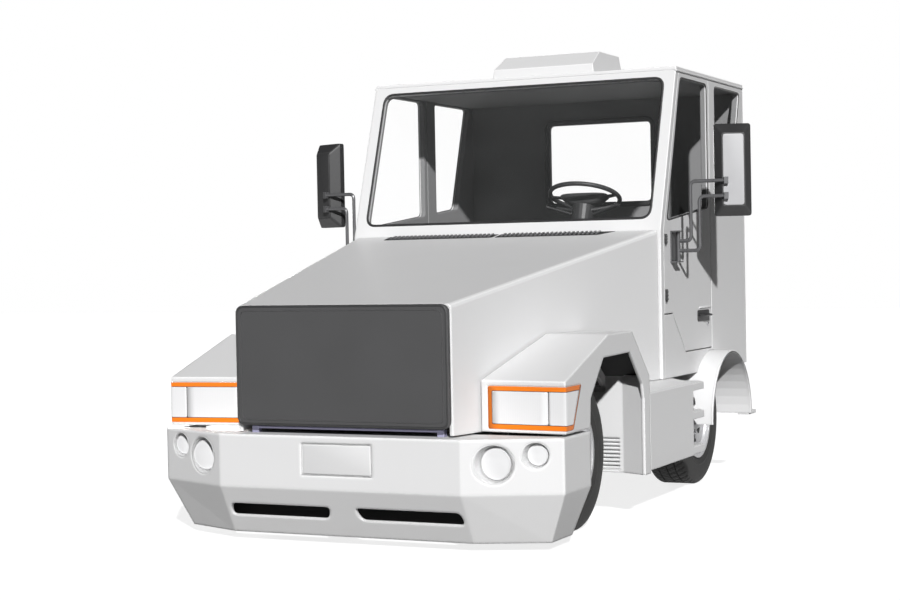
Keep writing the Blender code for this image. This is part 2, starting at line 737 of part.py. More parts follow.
def headlamp_block(grow):
    """The wrap-round lamp unit; its rear edge on the side leans back towards the top."""
    x0, x1 = HEADLAMP_INNER_X - grow, FENDER_X - TOUCH_GAP if not grow else FENDER_X + 0.05
    back = 0.03 if grow else -TOUCH_GAP
    plan = [
        (x0, fender_front_y(x0) - back),
        (x1, fender_front_y(FENDER_X) - back),
        (x1, 0.55),
        (x1 - 0.08 - (0.05 if grow else 0), 0.55),
        (x1 - 0.08 - (0.05 if grow else 0), FENDER_FRONT_Y + HEADLAMP_DEPTH + grow),
        (x0, fender_front_y(x0) + HEADLAMP_DEPTH + grow),
    ]
    name = "headlamp_pocket" if grow else "headlamp"
    block = outline(name, [plan], "Z", HEADLAMP_LOW - grow, HEADLAMP_HIGH + grow, "lamp")
    side = [(0.0, 0.5), (0.371 + grow, 0.5), (0.371 + grow, HEADLAMP_LOW), (0.496 + grow, HEADLAMP_HIGH)]
    side += [(0.496 + grow, 1.1), (0.0, 1.1)]
    return trim(block, outline("lamp_side", [side], "X", 0.5, 1.4))


def make_hood():
    """The tilting bonnet: top and sides in one shell, cut away over the wheels."""
    rings = []
    for y, half, low, high in (
        (HOOD_FRONT_Y, HOOD_FRONT_HALF, HOOD_BOTTOM, HOOD_FRONT_TOP),
        (HOOD_REAR_Y, HOOD_REAR_HALF, HOOD_BOTTOM, HOOD_REAR_TOP),
    ):
        bevel = 0.022
        right = [(half, y, low), (half, y, high - bevel), (half - bevel * 0.3, y, high - bevel * 0.3)]
        right.append((half - bevel, y, high))
        rings.append([(-x, a, b) for x, a, b in right] + list(reversed(right)))
    shell = solidify(loft("hood", rings, closed=False), HOOD_WALL)
    lip, crest = FENDER_LIP - HOOD_TUCK, FENDER_TOP - HOOD_TUCK
    start_y = fender_inner(FENDER_FRONT_Y, lip)[1] + 0.03
    arch = [
        (start_y, HOOD_BOTTOM - 0.1),
        (start_y, lip),
        (fender_inner(FENDER_CREST_Y, crest)[1], crest),
        (FENDER_FLAT_END_Y, crest),
        (FENDER_REAR_Y, HOOD_REAR_BOTTOM),
        (HOOD_REAR_Y + 0.1, HOOD_REAR_BOTTOM),
        (HOOD_REAR_Y + 0.1, HOOD_BOTTOM - 0.1),
    ]
    return cut(shell, outline("hood_arches", [arch], "X", -1.5, 1.5))


def make_grille():
    """The closed panel across the nose of the bonnet."""
    rear = HOOD_FRONT_Y - TOUCH_GAP
    loop = rounded(rectangle(-GRILLE_HALF, GRILLE_HALF, GRILLE_BOTTOM, HOOD_FRONT_TOP), 0.05, 5)
    return outline("grille_panel", [loop], "Y", rear - GRILLE_THICK, rear, "grille")


def make_hinge_bar():
    """The fixed bar that the bonnet tilts on, on two blocks on the bumper's shelf."""
    bar = cylinder("hood_hinge_bar", (0, HOOD_AXIS_Y + 0.04, HOOD_AXIS_Z), "X", 0.010, 1.20, "steel", 12)
    for side in (-1, 1):
        low_x = side * 0.56
        low = (min(low_x, low_x + side * 0.04), HOOD_AXIS_Y + 0.03, BUMPER_TOP + TOUCH_GAP)
        high = (max(low_x, low_x + side * 0.04), HOOD_AXIS_Y + 0.07, HOOD_AXIS_Z + 0.004)
        join(bar, box("hinge_block", low, high, "steel"))
    return bar


# ---------------------------------------------------------------- cab
def make_cab_front():
    """Bulkhead and windscreen frame, bent at the scuttle."""
    depth = CAB_WALL * math.sqrt(1 + SCREEN_RAKE ** 2)
    top = ROOF_EDGE_Z - TOUCH_GAP
    side = [(CAB_FRONT_Y, CAB_BOTTOM), (CAB_FRONT_Y, SCUTTLE_Z), (screen_y(top), top)]
    rear = CAB_FRONT_Y + depth
    side += [(screen_y(top) + depth, top), (rear, SCUTTLE_Z), (rear, CAB_BOTTOM)]
    front = outline("cab_front", [side], "X", -CAB_HALF, CAB_HALF)
    return cut(front, outline("screen_opening", [screen_loop()], "Y", -0.1, 0.2, turn=screen_turn()))


def make_windscreen():
    loop = grown(screen_loop(), -TOUCH_GAP)
    return outline("windscreen", [loop], "Y", 0.02, 0.02 + GLASS_THICK, "glass", screen_turn())


def make_cab_side():
    """Quarter panel, door post and sill round the door opening."""
    gap = SWING_GAP
    front = CAB_FRONT_Y + CAB_WALL * math.sqrt(1 + SCREEN_RAKE ** 2) + TOUCH_GAP
    rear, top = CAB_REAR_Y - CAB_REAR_WALL - TOUCH_GAP, ROOF_EDGE_Z - TOUCH_GAP
    low = CAB_BOTTOM
    loop = [
        (front, low),
        (rear, low),
        (rear, top),
        (DOOR_REAR_Y + gap, top),
        (DOOR_REAR_Y + gap, DOOR_BOTTOM - gap),
        (DOOR_CUT_Y[1] - 0.004, DOOR_BOTTOM - gap),
        (DOOR_CUT_Y[0] - 0.004, DOOR_STEP_Z - gap),
        (front, DOOR_STEP_Z - gap),
    ]
    side = outline("cab_side", [loop, quarter_window_loop()], "X", CAB_HALF - CAB_WALL, CAB_HALF)
    place = (CAB_HALF, REAR_AXLE_Y, MUDGUARD_Z)
    return cut(side, cylinder("arch", place, "X", MUDGUARD_RADIUS + 0.002, 0.3, segments=48))


def make_cab_rear():
    loop = rectangle(-CAB_HALF, CAB_HALF, CAB_BOTTOM, ROOF_EDGE_Z - TOUCH_GAP)
    window = rounded(rectangle(-REAR_WINDOW_HALF, REAR_WINDOW_HALF, REAR_WINDOW_LOW, REAR_WINDOW_HIGH), 0.04)
    return outline("cab_rear_wall", [loop, window], "Y", CAB_REAR_Y - CAB_REAR_WALL, CAB_REAR_Y)


def make_rear_window():
    loop = rounded(rectangle(-REAR_WINDOW_HALF, REAR_WINDOW_HALF, REAR_WINDOW_LOW, REAR_WINDOW_HIGH), 0.04)
    middle = CAB_REAR_Y - CAB_REAR_WALL / 2
    return outline("rear_window", [grown(loop, -TOUCH_GAP)], "Y", middle, middle + GLASS_THICK, "glass")


def make_floor():
    inner = CAB_HALF - CAB_WALL - TOUCH_GAP
    front = CAB_FRONT_Y + CAB_WALL * math.sqrt(1 + SCREEN_RAKE ** 2) + TOUCH_GAP
    rear = CAB_REAR_Y - CAB_REAR_WALL - TOUCH_GAP
    return box("cab_floor", (-inner, front, CAB_SILL), (inner, rear, CAB_SILL + FLOOR_THICK), "lining")


def make_roof():
    front = screen_y(ROOF_EDGE_Z)
    lift = (ROOF_TOP - ROOF_EDGE_Z) * SCREEN_RAKE
    side = [(front, ROOF_EDGE_Z), (front + lift, ROOF_TOP), (CAB_REAR_Y, ROOF_TOP), (CAB_REAR_Y, ROOF_EDGE_Z)]
    roof = outline("cab_roof", [side], "X", -CAB_HALF, CAB_HALF)
    inset = CAB_WALL + 0.012
    low = (-CAB_HALF + inset, front + CAB_WALL + 0.02, ROOF_LINER_Z)
    high = (CAB_HALF - inset, CAB_REAR_Y - CAB_REAR_WALL - 0.006, ROOF_EDGE_Z + 0.01)
    return join(roof, box("roof_liner", low, high))


def make_roof_unit():
    """The low air unit on the roof, its front chamfered."""
    bottom, shoulder, top = ROOF_TOP + TOUCH_GAP, ROOF_TOP + 0.101, ROOF_TOP + 0.201
    rings = []
    for side in (-1, 1):
        ring = []
        for y, z in ((3.07, bottom), (3.07, shoulder), (3.25, top), (3.64, top), (3.66, bottom)):
            half = ROOF_UNIT_HALF - ROOF_UNIT_TAPER * (z - bottom) / (top - bottom)
            ring.append((side * half, y, z))
        rings.append(ring)
    return loft("roof_unit", rings)


def make_dashboard():
    front = CAB_FRONT_Y + CAB_WALL * math.sqrt(1 + SCREEN_RAKE ** 2) + 0.003
    top = SCREEN_LOW - 0.047
    side = [(front, 1.30), (front, SCUTTLE_Z), (front + (top - SCUTTLE_Z) * SCREEN_RAKE, top)]
    side += [(2.60, top - 0.01), (2.68, 1.70), (2.66, 1.52), (2.52, 1.40), (2.46, 1.30)]
    half = CAB_HALF - CAB_WALL - 0.005
    panel = outline("dashboard", [side], "X", -half, half, "plastic")
    return cut(panel, column_cone("column_bore", 0.001))


def make_seat():
    """Pedestal and shell of one seat."""
    x0, x1 = SEAT_X - 0.21, SEAT_X + 0.21
    y = SEAT_FRONT_Y
    floor_top = CAB_SILL + FLOOR_THICK + TOUCH_GAP
    seat = box("seat_frame", (x0, y + 0.06, floor_top), (x1, y + 0.44, SEAT_TOP - SEAT_DEPTH), "plastic")
    shell = [(y + 0.42, SEAT_TOP - 0.16), (y + 0.50, SEAT_TOP - 0.16)]
    shell += [(y + 0.60, SEAT_BACK_TOP), (y + 0.565, SEAT_BACK_TOP)]
    return join(seat, outline("seat_shell", [shell], "X", x0 + 0.02, x1 - 0.02, "plastic"))


def make_seat_pad():
    """Cushion and backrest as one plain soft solid."""
    y, top = SEAT_FRONT_Y, SEAT_TOP
    under = top - SEAT_DEPTH + 0.002
    side = [(y, under), (y, top - 0.02), (y + 0.03, top), (y + 0.38, top - 0.01), (y + 0.47, SEAT_BACK_TOP)]
    side += [(y + 0.555, SEAT_BACK_TOP), (y + 0.442, under + 0.06), (y + 0.410, under)]
    return outline("seat_pad", [rounded(side, 0.02, 2)], "X", SEAT_X - 0.24, SEAT_X + 0.24, "fabric")


def steering_turn():
    """Local Z along the steering column, up towards the driver."""
    return Matrix.Translation(STEERING_PLACE) @ Matrix.Rotation(-STEERING_TILT, 4, "X")


def column_cone(name, grow):
    """The column's shroud, from inside the dashboard up to the steering wheel's hub."""
    low, high = COLUMN_ENDS
    shape = bmesh.new()
    bmesh.ops.create_cone(
        shape,
        cap_ends=True,
        segments=20,
        radius1=COLUMN_RADII[0] + grow,
        radius2=COLUMN_RADII[1] + grow,
        depth=high - low + 2 * grow,
        matrix=steering_turn() @ Matrix.Translation((0, 0, (low + high) / 2)),
    )
    return from_bmesh(name, shape, "plastic")


def make_steering_column():
    turn = steering_turn()
    column = column_cone("steering_column", 0.0)
    for side in (-1, 1):
        start = turn @ Vector((side * 0.05, -0.02, -0.11))
        end = turn @ Vector((side * 0.20, 0.02, -0.07))
        join(column, tube("stalk", [start, end], 0.011, "plastic"))
    return column


def make_steering_wheel():
    turn = steering_turn()
    ring = []
    for i in range(32):
        angle = 2 * math.pi * i / 32
        ring.append(turn @ Vector((STEERING_RADIUS * math.cos(angle), STEERING_RADIUS * math.sin(angle), 0)))
    wheel = tube("steering_wheel", ring, STEERING_RIM, "plastic", closed=True)
    rings = []
    for depth, half_width, half_length in HUB_SECTIONS:
        corners = rounded(rectangle(-half_width, half_width, -half_length, half_length), 0.03, 3)
        rings.append([turn @ Vector((x, y, depth)) for x, y in corners])
    join(wheel, loft("hub_pad", rings, "plastic"))
    for side in (-1, 1):
        inner = turn @ Vector((side * 0.13, 0, -0.020))
        outer = turn @ Vector((side * STEERING_RADIUS, 0, -0.003))
        join(wheel, tube("spoke", [inner, outer], 0.012, "plastic"))
    return wheel


# ---------------------------------------------------------------- doors and mirrors
def make_door():
    loops = [door_loop(), door_window_loop()]
    return outline("door", loops, "X", CAB_HALF - DOOR_THICK, CAB_HALF)


def pane(name, loop):
    """A side pane in the middle of its wall."""
    low = CAB_HALF - 0.028
    return outline(name, [grown(loop, -TOUCH_GAP)], "X", low, low + GLASS_THICK, "glass")


def mirror_point(across, up, forward):
    """A point of the mirror: across its width (outwards), up, and forward of the rim's plane."""
    across_axis = Vector((math.cos(MIRROR_YAW), math.sin(MIRROR_YAW), 0))
    forward_axis = Vector((math.sin(MIRROR_YAW), -math.cos(MIRROR_YAW), 0))
    return Vector(MIRROR_PLACE) + across_axis * across + Vector((0, 0, up)) + forward_axis * forward


def make_mirror():
    rings = []
    levels = ((MIRROR_HALF, -MIRROR_RIM_DEPTH), (MIRROR_HALF, 0.0), (MIRROR_FACE_HALF, MIRROR_FACE_DEPTH))
    for (half_width, half_height), forward in levels:
        corners = rounded(rectangle(-half_width, half_width, -half_height, half_height), 0.018, 3)
        rings.append([mirror_point(u, v, forward) for u, v in corners])
    return loft("mirror", rings, "plastic")


def make_mirror_arm():
    """Bracket channel on the door and two bent tubes that end in clamps on the mirror."""
    skin = CAB_HALF + TOUCH_GAP
    arm = box("mirror_arm", (skin, 2.49, 1.530), (skin + 0.008, 2.59, 1.735))
    for low in (1.530, 1.727):
        join(arm, box("flange", (skin, 2.49, low), (skin + 0.055, 2.59, low + 0.008)))
    join(arm, cylinder("post", (skin + 0.036, 2.545, 1.6325), "Z", 0.014, 0.20, segments=16))
    face = MIRROR_FACE_DEPTH + 0.021
    for bend_x, foot_z, top_up in ((1.227, 1.668, -0.069), (1.285, 1.605, -0.167)):
        end = mirror_point(-MIRROR_FACE_HALF[0] + 0.02, top_up, face)
        top_z = end.z
        corners = [(skin + 0.036, 2.545, foot_z), (bend_x, 2.534, foot_z), (bend_x, 2.534, top_z), end]
        join(arm, tube("stay", bent(corners, 0.035), ARM_RADIUS))
        join(arm, clamp_block(top_up))
    return arm


def clamp_block(up):
    """A clamp on the mirror's face that grips a tube."""
    left, right = -MIRROR_FACE_HALF[0] + 0.008, -MIRROR_FACE_HALF[0] + 0.036
    near, far = MIRROR_FACE_DEPTH + TOUCH_GAP, MIRROR_FACE_DEPTH + 0.036
    rings = []
    for level in (up - 0.022, up + 0.022):
        corners = ((left, near), (right, near), (right, far), (left, far))
        rings.append([mirror_point(u, level, v) for u, v in corners])
    return loft("clamp", rings, "plastic")


# ---------------------------------------------------------------- steps, mudguards and rear
def make_step_box():
    """Locker under the cab with three treads standing out behind its cover."""
    ledge = STEP_LEDGE_Z
    under_cab = CAB_BOTTOM - 0.003
    profile = [(STEP_INNER_X, STEP_BOTTOM), (FENDER_X, STEP_BOTTOM), (FENDER_X, ledge)]
    profile += [(FENDER_X - 0.010, ledge + 0.012), (CAB_HALF, under_cab), (STEP_INNER_X, under_cab)]
    body = outline("step_box", [profile], "Y", STEP_FRONT_Y, STEP_REAR_Y)
    plan = [(STEP_INNER_X, STEP_REAR_Y - 0.02), (FENDER_X, STEP_REAR_Y - 0.02)]
    plan += [(FENDER_X, STEP_TREAD_REAR_Y - 0.05), (FENDER_X - 0.05, STEP_TREAD_REAR_Y)]
    plan.append((STEP_INNER_X, STEP_TREAD_REAR_Y))
    for top in (*TREAD_TOPS, ledge):
        join(body, outline("tread", [plan], "Z", top - TREAD_THICK, top))
        near, far, under = STEP_REAR_Y - 0.02, STEP_TREAD_REAR_Y - 0.03, top - TREAD_THICK
        side = [(near, top - 0.02), (far, top - 0.02), (far, under - 0.002), (near, under - 0.06)]
        if top > TREAD_TOPS[0]:
            join(body, outline("gusset", [side], "X", STEP_INNER_X + 0.01, STEP_INNER_X + 0.25))
    for y in (1.76, 2.28):
        join(body, box("arm", (RAIL_OUTER_X + TOUCH_GAP, y, 0.60), (STEP_INNER_X + 0.05, y + 0.08, 0.70)))
    return body


def make_mudguard():
    """A half-round guard over the rear wheel, with a lug behind and a stay to the frame."""
    y, z = REAR_AXLE_Y, MUDGUARD_Z
    outer, inner = MUDGUARD_RADIUS, MUDGUARD_RADIUS - MUDGUARD_WALL
    steps = 24
    angles = [math.pi * i / steps for i in range(steps + 1)]
    arc = [(y - outer * math.cos(a), z + outer * math.sin(a)) for a in angles]
    arc += [(y - inner * math.cos(a), z + inner * math.sin(a)) for a in reversed(angles)]
    guard = outline("mudguard", [arc], "X", MUDGUARD_INNER_X, FENDER_X)
    top = z + outer
    rear = y + outer
    lug_high = (FENDER_X - 0.02, rear + 0.17, z + 0.012)
    join(guard, box("lug", (FENDER_X - 0.10, rear - 0.012, z - 0.012), lug_high))
    stay_x = RAIL_OUTER_X + TOUCH_GAP
    stay_high = (MUDGUARD_INNER_X + 0.03, y + 0.03, top - 0.001)
    join(guard, box("stay", (stay_x, y - 0.03, top - 0.013), stay_high))
    foot_high = (stay_x + 0.02, y + 0.03, top - 0.001)
    join(guard, box("stay_foot", (stay_x, y - 0.03, RAIL_BOTTOM + 0.05), foot_high))
    return guard


def make_rear_plate():
    front = CAB_REAR_Y + 0.02 + TOUCH_GAP
    loop = rounded(rectangle(-0.78, 0.78, 0.36, 0.82), 0.05, 3)
    return outline("rear_plate", [loop], "Y", front, front + 0.11, "steel")


def make_tow_coupling():
    """A towing jaw with its pin, on the rear plate."""
    front = CAB_REAR_Y + 0.02 + 0.11 + 2 * TOUCH_GAP
    jaw = box("tow_coupling", (-0.11, front, 0.47), (0.11, LENGTH, 0.69), "iron")
    cut(jaw, box("mouth", (-0.2, front + 0.045, 0.535), (0.2, LENGTH + 0.1, 0.625)))
    join(jaw, cylinder("pin", (0, LENGTH - 0.055, 0.59), "Z", 0.020, 0.28, "iron", 16))
    return jaw


# ---------------------------------------------------------------- the whole tractor
def build():
    make_chassis()
    make_engine()
    make_front_axle()
    make_rear_axle()
    make_wheels()
    make_bumper()
    pair(make_lamp_cluster(), "lamp_cluster")
    pair(make_fender(), "fender")
    pair(headlamp_block(0.0), "headlamp")
    make_hinge_bar()
    make_cab_front()
    make_windscreen()
    pair(make_cab_side(), "cab_side")
    pair(pane("quarter_window", quarter_window_loop()), "quarter_window")
    make_cab_rear()
    make_rear_window()
    make_floor()
    make_roof()
    make_roof_unit()
    make_dashboard()
    pair(make_seat(), "seat_frame")
    pair(make_seat_pad(), "seat_pad")
    make_steering_column()
    pair(make_step_box(), "step_box")
    pair(make_mudguard(), "mudguard")
    make_rear_plate()
    make_tow_coupling()

    hood_axis = pivot("hood_axis", (0, HOOD_AXIS_Y, HOOD_AXIS_Z))
    hang_on(hood_axis, make_hood(), make_grille())
    hang_on(pivot("steering_axis", STEERING_PLACE), make_steering_wheel())
    pieces = {
        "door": make_door(),
        "door_window": pane("door_window", door_window_loop()),
        "mirror": make_mirror(),
        "mirror_arm": make_mirror_arm(),
    }
    hinge_left = pivot("door_axis_left", (DOOR_AXIS_X, DOOR_AXIS_Y, 1.8))
    hinge_right = pivot("door_axis_right", (-DOOR_AXIS_X, DOOR_AXIS_Y, 1.8))
    for stem, piece in pieces.items():
        left, right = pair(piece, stem)
        hang_on(hinge_left, left)
        hang_on(hinge_right, right)


build()
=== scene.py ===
# %% [markdown]
# # Tow tractor: the looks
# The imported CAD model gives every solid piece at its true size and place. This file dresses it:
# each finish is worked out from the place on the piece, and the pieces that a plain solid can't
# show (lamp glasses, rubber seals, handles, tread, cushions) are surfaces worked out with numpy.
# Lengths are metres. `y` is measured back from the bumper's face, as a fitter would measure it.

# %% Load the frame
import json
import math

import bmesh
import bpy
import numpy as np
from mathutils import Matrix, Vector


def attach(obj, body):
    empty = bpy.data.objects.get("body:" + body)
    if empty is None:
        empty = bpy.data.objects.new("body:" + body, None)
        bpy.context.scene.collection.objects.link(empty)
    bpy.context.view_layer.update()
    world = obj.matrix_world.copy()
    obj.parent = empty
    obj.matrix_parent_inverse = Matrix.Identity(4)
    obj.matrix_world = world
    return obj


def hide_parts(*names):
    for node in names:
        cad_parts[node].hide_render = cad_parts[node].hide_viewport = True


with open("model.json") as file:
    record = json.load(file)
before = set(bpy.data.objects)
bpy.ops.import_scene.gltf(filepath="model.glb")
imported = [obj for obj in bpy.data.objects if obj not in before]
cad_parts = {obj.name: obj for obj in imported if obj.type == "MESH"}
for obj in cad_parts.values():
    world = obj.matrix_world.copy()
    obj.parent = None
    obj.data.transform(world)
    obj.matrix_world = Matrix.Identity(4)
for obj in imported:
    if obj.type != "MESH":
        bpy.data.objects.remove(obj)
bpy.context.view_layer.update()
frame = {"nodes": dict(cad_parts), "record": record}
NODES = frame["nodes"]
HALF_LENGTH = 2.25
SIDES = {1: "left", -1: "right"}

# %% [markdown]
# ## Shader maths
# A finish is a sum of small patterns: cloudiness, grain, dirt near the ground. Written as node
# boxes these are hard to read, so a socket is wrapped in a class that knows arithmetic, and
# `0.5 + 0.2 * cloud` adds its own Math nodes. Colours never pass through arithmetic: they are
# blended by a Mix node, which keeps all three channels.


# %% Values and finishes
class Value:
    """A socket of a finish with arithmetic: each operation adds one Math node."""

    def __init__(self, finish, socket):
        self.finish, self.socket = finish, socket

    def math(self, operation, *others):
        sockets = {i: other for i, other in enumerate((self, *others))}
        return self.finish.add("Math", {"operation": operation}, sockets)

    def __add__(self, other):
        return self.math("ADD", other)

    def __mul__(self, other):
        return self.math("MULTIPLY", other)

    def __sub__(self, other):
        return self.math("SUBTRACT", other)

    def __rsub__(self, other):
        return self.finish.add("Math", {"operation": "SUBTRACT"}, {0: other, 1: self})

    def __gt__(self, other):
        return self.math("GREATER_THAN", other)

    def __lt__(self, other):
        return self.math("LESS_THAN", other)

    __radd__, __rmul__ = __add__, __mul__

    def clamped(self):
        return self.math("MAXIMUM", 0.0).math("MINIMUM", 1.0)


class Finish:
    """One material: `add` makes any node, and the rest are the patterns that most finishes share."""

    def __init__(self, name, roughness=0.5, **fixed):
        self.material = bpy.data.materials.new(name)
        self.material.use_nodes = True
        self.tree = self.material.node_tree
        self.shader = self.tree.nodes["Principled BSDF"]
        self.place = self.add("TexCoord", {}, {}, "Object")
        self.set(Roughness=roughness, **{key.replace("_", " "): value for key, value in fixed.items()})

    def put(self, socket, value):
        if isinstance(value, Value):
            self.tree.links.new(value.socket, socket)
        else:
            socket.default_value = value

    def add(self, kind, settings, sockets, out=0):
        """A node of this type, with its settings first and then its sockets' values or links."""
        node = self.tree.nodes.new("ShaderNode" + kind)
        for key, value in settings.items():
            if key == "stops":
                for (spot, colour), element in zip(value, node.color_ramp.elements):
                    element.position, element.color = spot, colour
            else:
                setattr(node, key, value)
        for key, value in sockets.items():
            self.put(node.inputs[key], value)
        return Value(self, node.outputs[out])

    def set(self, **sockets):
        for key, value in sockets.items():
            self.put(self.shader.inputs[key.replace("_", " ")], value)
        return self

    def noise(self, scale, detail=3.0, stretch=None):
        """Cloudiness of about 1/scale metres, stretched along an axis if asked."""
        place = self.place
        if stretch:
            place = self.add("Mapping", {}, {"Vector": place, "Scale": stretch})
        return self.add("TexNoise", {}, {"Vector": place, "Scale": scale, "Detail": detail}, "Fac")

    def cells(self, scale):
        return self.add("TexVoronoi", {}, {"Vector": self.place, "Scale": scale}, "Distance")

    def blend(self, share, one, other):
        """From colour one to colour other as share goes from 0 to 1."""
        one, other = [c if isinstance(c, Value) else (*c, 1.0) for c in (one, other)]
        return self.add("Mix", {"data_type": "RGBA"}, {0: share, 6: one, 7: other}, 2)

    def xyz(self):
        node = self.add("SeparateXYZ", {}, {0: self.place}).socket.node
        return [Value(self, node.outputs[i]) for i in range(3)]

    def bump(self, height, depth, normal=None):
        """Surface relief: a height from 0 to 1 that stands depth metres high."""
        sockets = {"Height": height, "Distance": depth, "Strength": 1.0}
        if normal:
            sockets["Normal"] = normal
        return self.add("Bump", {}, sockets)

    def eased(self, radius):
        """Edges rounded to this radius in the light, without more faces."""
        return self.add("Bevel", {"samples": 4}, {"Radius": radius})

    def edge(self, rounded):
        """1 on an edge and 0 on a flat: how far the rounded normal turns from the true one."""
        true = self.add("NewGeometry", {}, {}, "Normal")
        facing = self.add("VectorMath", {"operation": "DOT_PRODUCT"}, {0: rounded, 1: true}, "Value")
        return ((1 - facing) * 6.0).clamped()


print("shader maths ready")

# %% [markdown]
# ## Body paint
# The cab, bonnet, fenders and bumper are pressed steel under one coat of pale grey enamel. Real
# enamel is never one colour: it is slightly cloudy, has a fine orange peel and takes dust and road
# film low down. Edges are eased in the shader, because every pressing has them and they cost no
# faces, and their colour is lightened towards white as a painted highlight. The same sheets are
# darkened as painted shade inside the cab's walls, where the cab's finish changes, and under the
# fenders, on the sheets that face down in the arch and on the inner wing.

# %% Paint
PAINT = (0.68, 0.68, 0.685)
# near white: the painted highlight on enamel edges, and the worn tops of the tread plate
PAINT_HIGHLIGHT_AND_WEAR = (0.98, 0.98, 0.98)
PAINT_DUSTY = (0.54, 0.53, 0.51)
# painted shade inside the cab: a dark lining colour where the cab's inside lies in shade
CAB_SHADE = (0.19, 0.19, 0.193)
CAB_SHADE_PALER = (0.24, 0.24, 0.243)
# painted shade under the fenders: near black on the sheets that face down in the arch
ARCH_SHADE = (0.030, 0.030, 0.031)
ARCH_SHADE_PALER = tuple(c * 1.6 for c in ARCH_SHADE)


def inside_cab(x, y, z):
    """1 inside the cab's sheets: nearer the middle than their outer skin on every side."""
    behind_screen = y - ((z - 1.74).math("MAXIMUM", 0.0) * 0.3506 + 0.05)
    return (x.math("ABSOLUTE") < 1.088) * (behind_screen > 0.03) * (y < 1.938) * (z > 0.94) * (z < 2.778)


def shade_under_fender(finish, x, z):
    """1 where painted shade goes: on the sheets that face down inside the arch, and on the inner wing by the
    engine.
    """
    facing = finish.add("NewGeometry", {}, {}, "Normal")
    down = Value(finish, finish.add("SeparateXYZ", {}, {0: facing}).socket.node.outputs[2]) < -0.25
    across = x.math("ABSOLUTE")
    return (down * (across < 1.222) * (z > 0.66)).math("MAXIMUM", across < 0.50)


def painted(name, ease, dark=None):
    """Cloudy enamel, its edges eased to this radius and lightened as a painted highlight, with dust below
    knee height.
    `dark` names the painted shade on the sheet's hidden side in place of enamel: a dark lining colour inside
    the cab, or near black under the fenders."""
    finish = Finish(name, Coat_Roughness=0.25)
    cloud, fine = finish.noise(2.4), finish.noise(420.0, 2.0)
    x, y, z = finish.xyz()
    soft = finish.eased(ease)
    low = ((0.42 - z) * 2.2).clamped() * finish.noise(9.0, 5.0)
    streak = finish.noise(5.0, 4.0, (6.0, 6.0, 0.5))
    colour = finish.blend(cloud * 0.10, PAINT, PAINT_DUSTY)
    colour = finish.blend(low * 0.35 + streak * 0.04, colour, PAINT_DUSTY)
    # painted highlight: the eased edges are blended towards near white
    colour = finish.blend(finish.edge(soft) * 0.85, colour, PAINT_HIGHLIGHT_AND_WEAR)
    rough, coat = 0.46 + 0.08 * cloud + 0.2 * low, 0.10 - 0.05 * low
    if dark:
        # painted shade: inside the cab, and under the fenders, the enamel gives way to the dark colours
        share = inside_cab(x, y, z) if dark == "lining" else shade_under_fender(finish, x, z)
        felt = finish.noise(900.0, 2.0)
        cover = (CAB_SHADE, CAB_SHADE_PALER) if dark == "lining" else (ARCH_SHADE, ARCH_SHADE_PALER)
        colour = finish.blend(share, colour, finish.blend(felt, *cover))
        rough, coat = rough + share * 0.4, coat * (1 - share)
    normal = finish.bump(fine, 0.00003, soft)
    return finish.set(
        Base_Color=colour, Roughness=rough.clamped(), Coat_Weight=coat.clamped(), Normal=normal,
    ).material


FINISHES = {
    "paint": painted("enamel", 0.010),
    "bumper": painted("bumper_enamel", 0.026),
    "hood": painted("bonnet_enamel", 0.016),
    # fender enamel with painted shade on the sheets under the arch and on the inner wing
    "fender": painted("fender_enamel_and_arch_shade", 0.018, "painted_arch_shade"),
    "cab": painted("enamel_and_cab_shade", 0.012, "lining"),
}
print("paint:", [m.name for m in FINISHES.values()])

# %% [markdown]
# ## The other finishes
# Each is a base colour with two or three patterns at the scale of the real thing: moulding grain
# on plastic, casting skin and oil on iron, rust blooms on chassis black, dust in the tyre. They
# share one recipe with different numbers: a coarse pattern blends two colours and moves the
# roughness, and a fine one stands up as relief.


# %% Recipe for the plain finishes
def grained(
    name, dark, light, coarse, fine, depth, rough, ease=0.003, metallic=0.0, cells=False, glint=0.6,
):
    """dark to light by the coarse pattern, with edges lightened by `glint` as a painted highlight; the fine
    pattern is the relief, depth metres high.
    """
    finish = Finish(name)
    cloud = finish.noise(coarse, 5.0)
    grain = finish.cells(fine) if cells else finish.noise(fine, 3.0)
    soft = finish.eased(ease)
    colour = finish.blend(cloud, dark, light)
    # painted highlight: eased edges are blended towards a lighter copy of the light colour
    edge_highlight = tuple(min(1.0, c * 1.9 + 0.03) for c in light)
    colour = finish.blend(finish.edge(soft) * glint, colour, edge_highlight)
    roughness = (rough + 0.18 * (cloud - 0.5) + 0.06 * grain).clamped()
    normal = finish.bump(grain, depth, soft)
    return finish.set(Base_Color=colour, Roughness=roughness, Metallic=metallic, Normal=normal).material


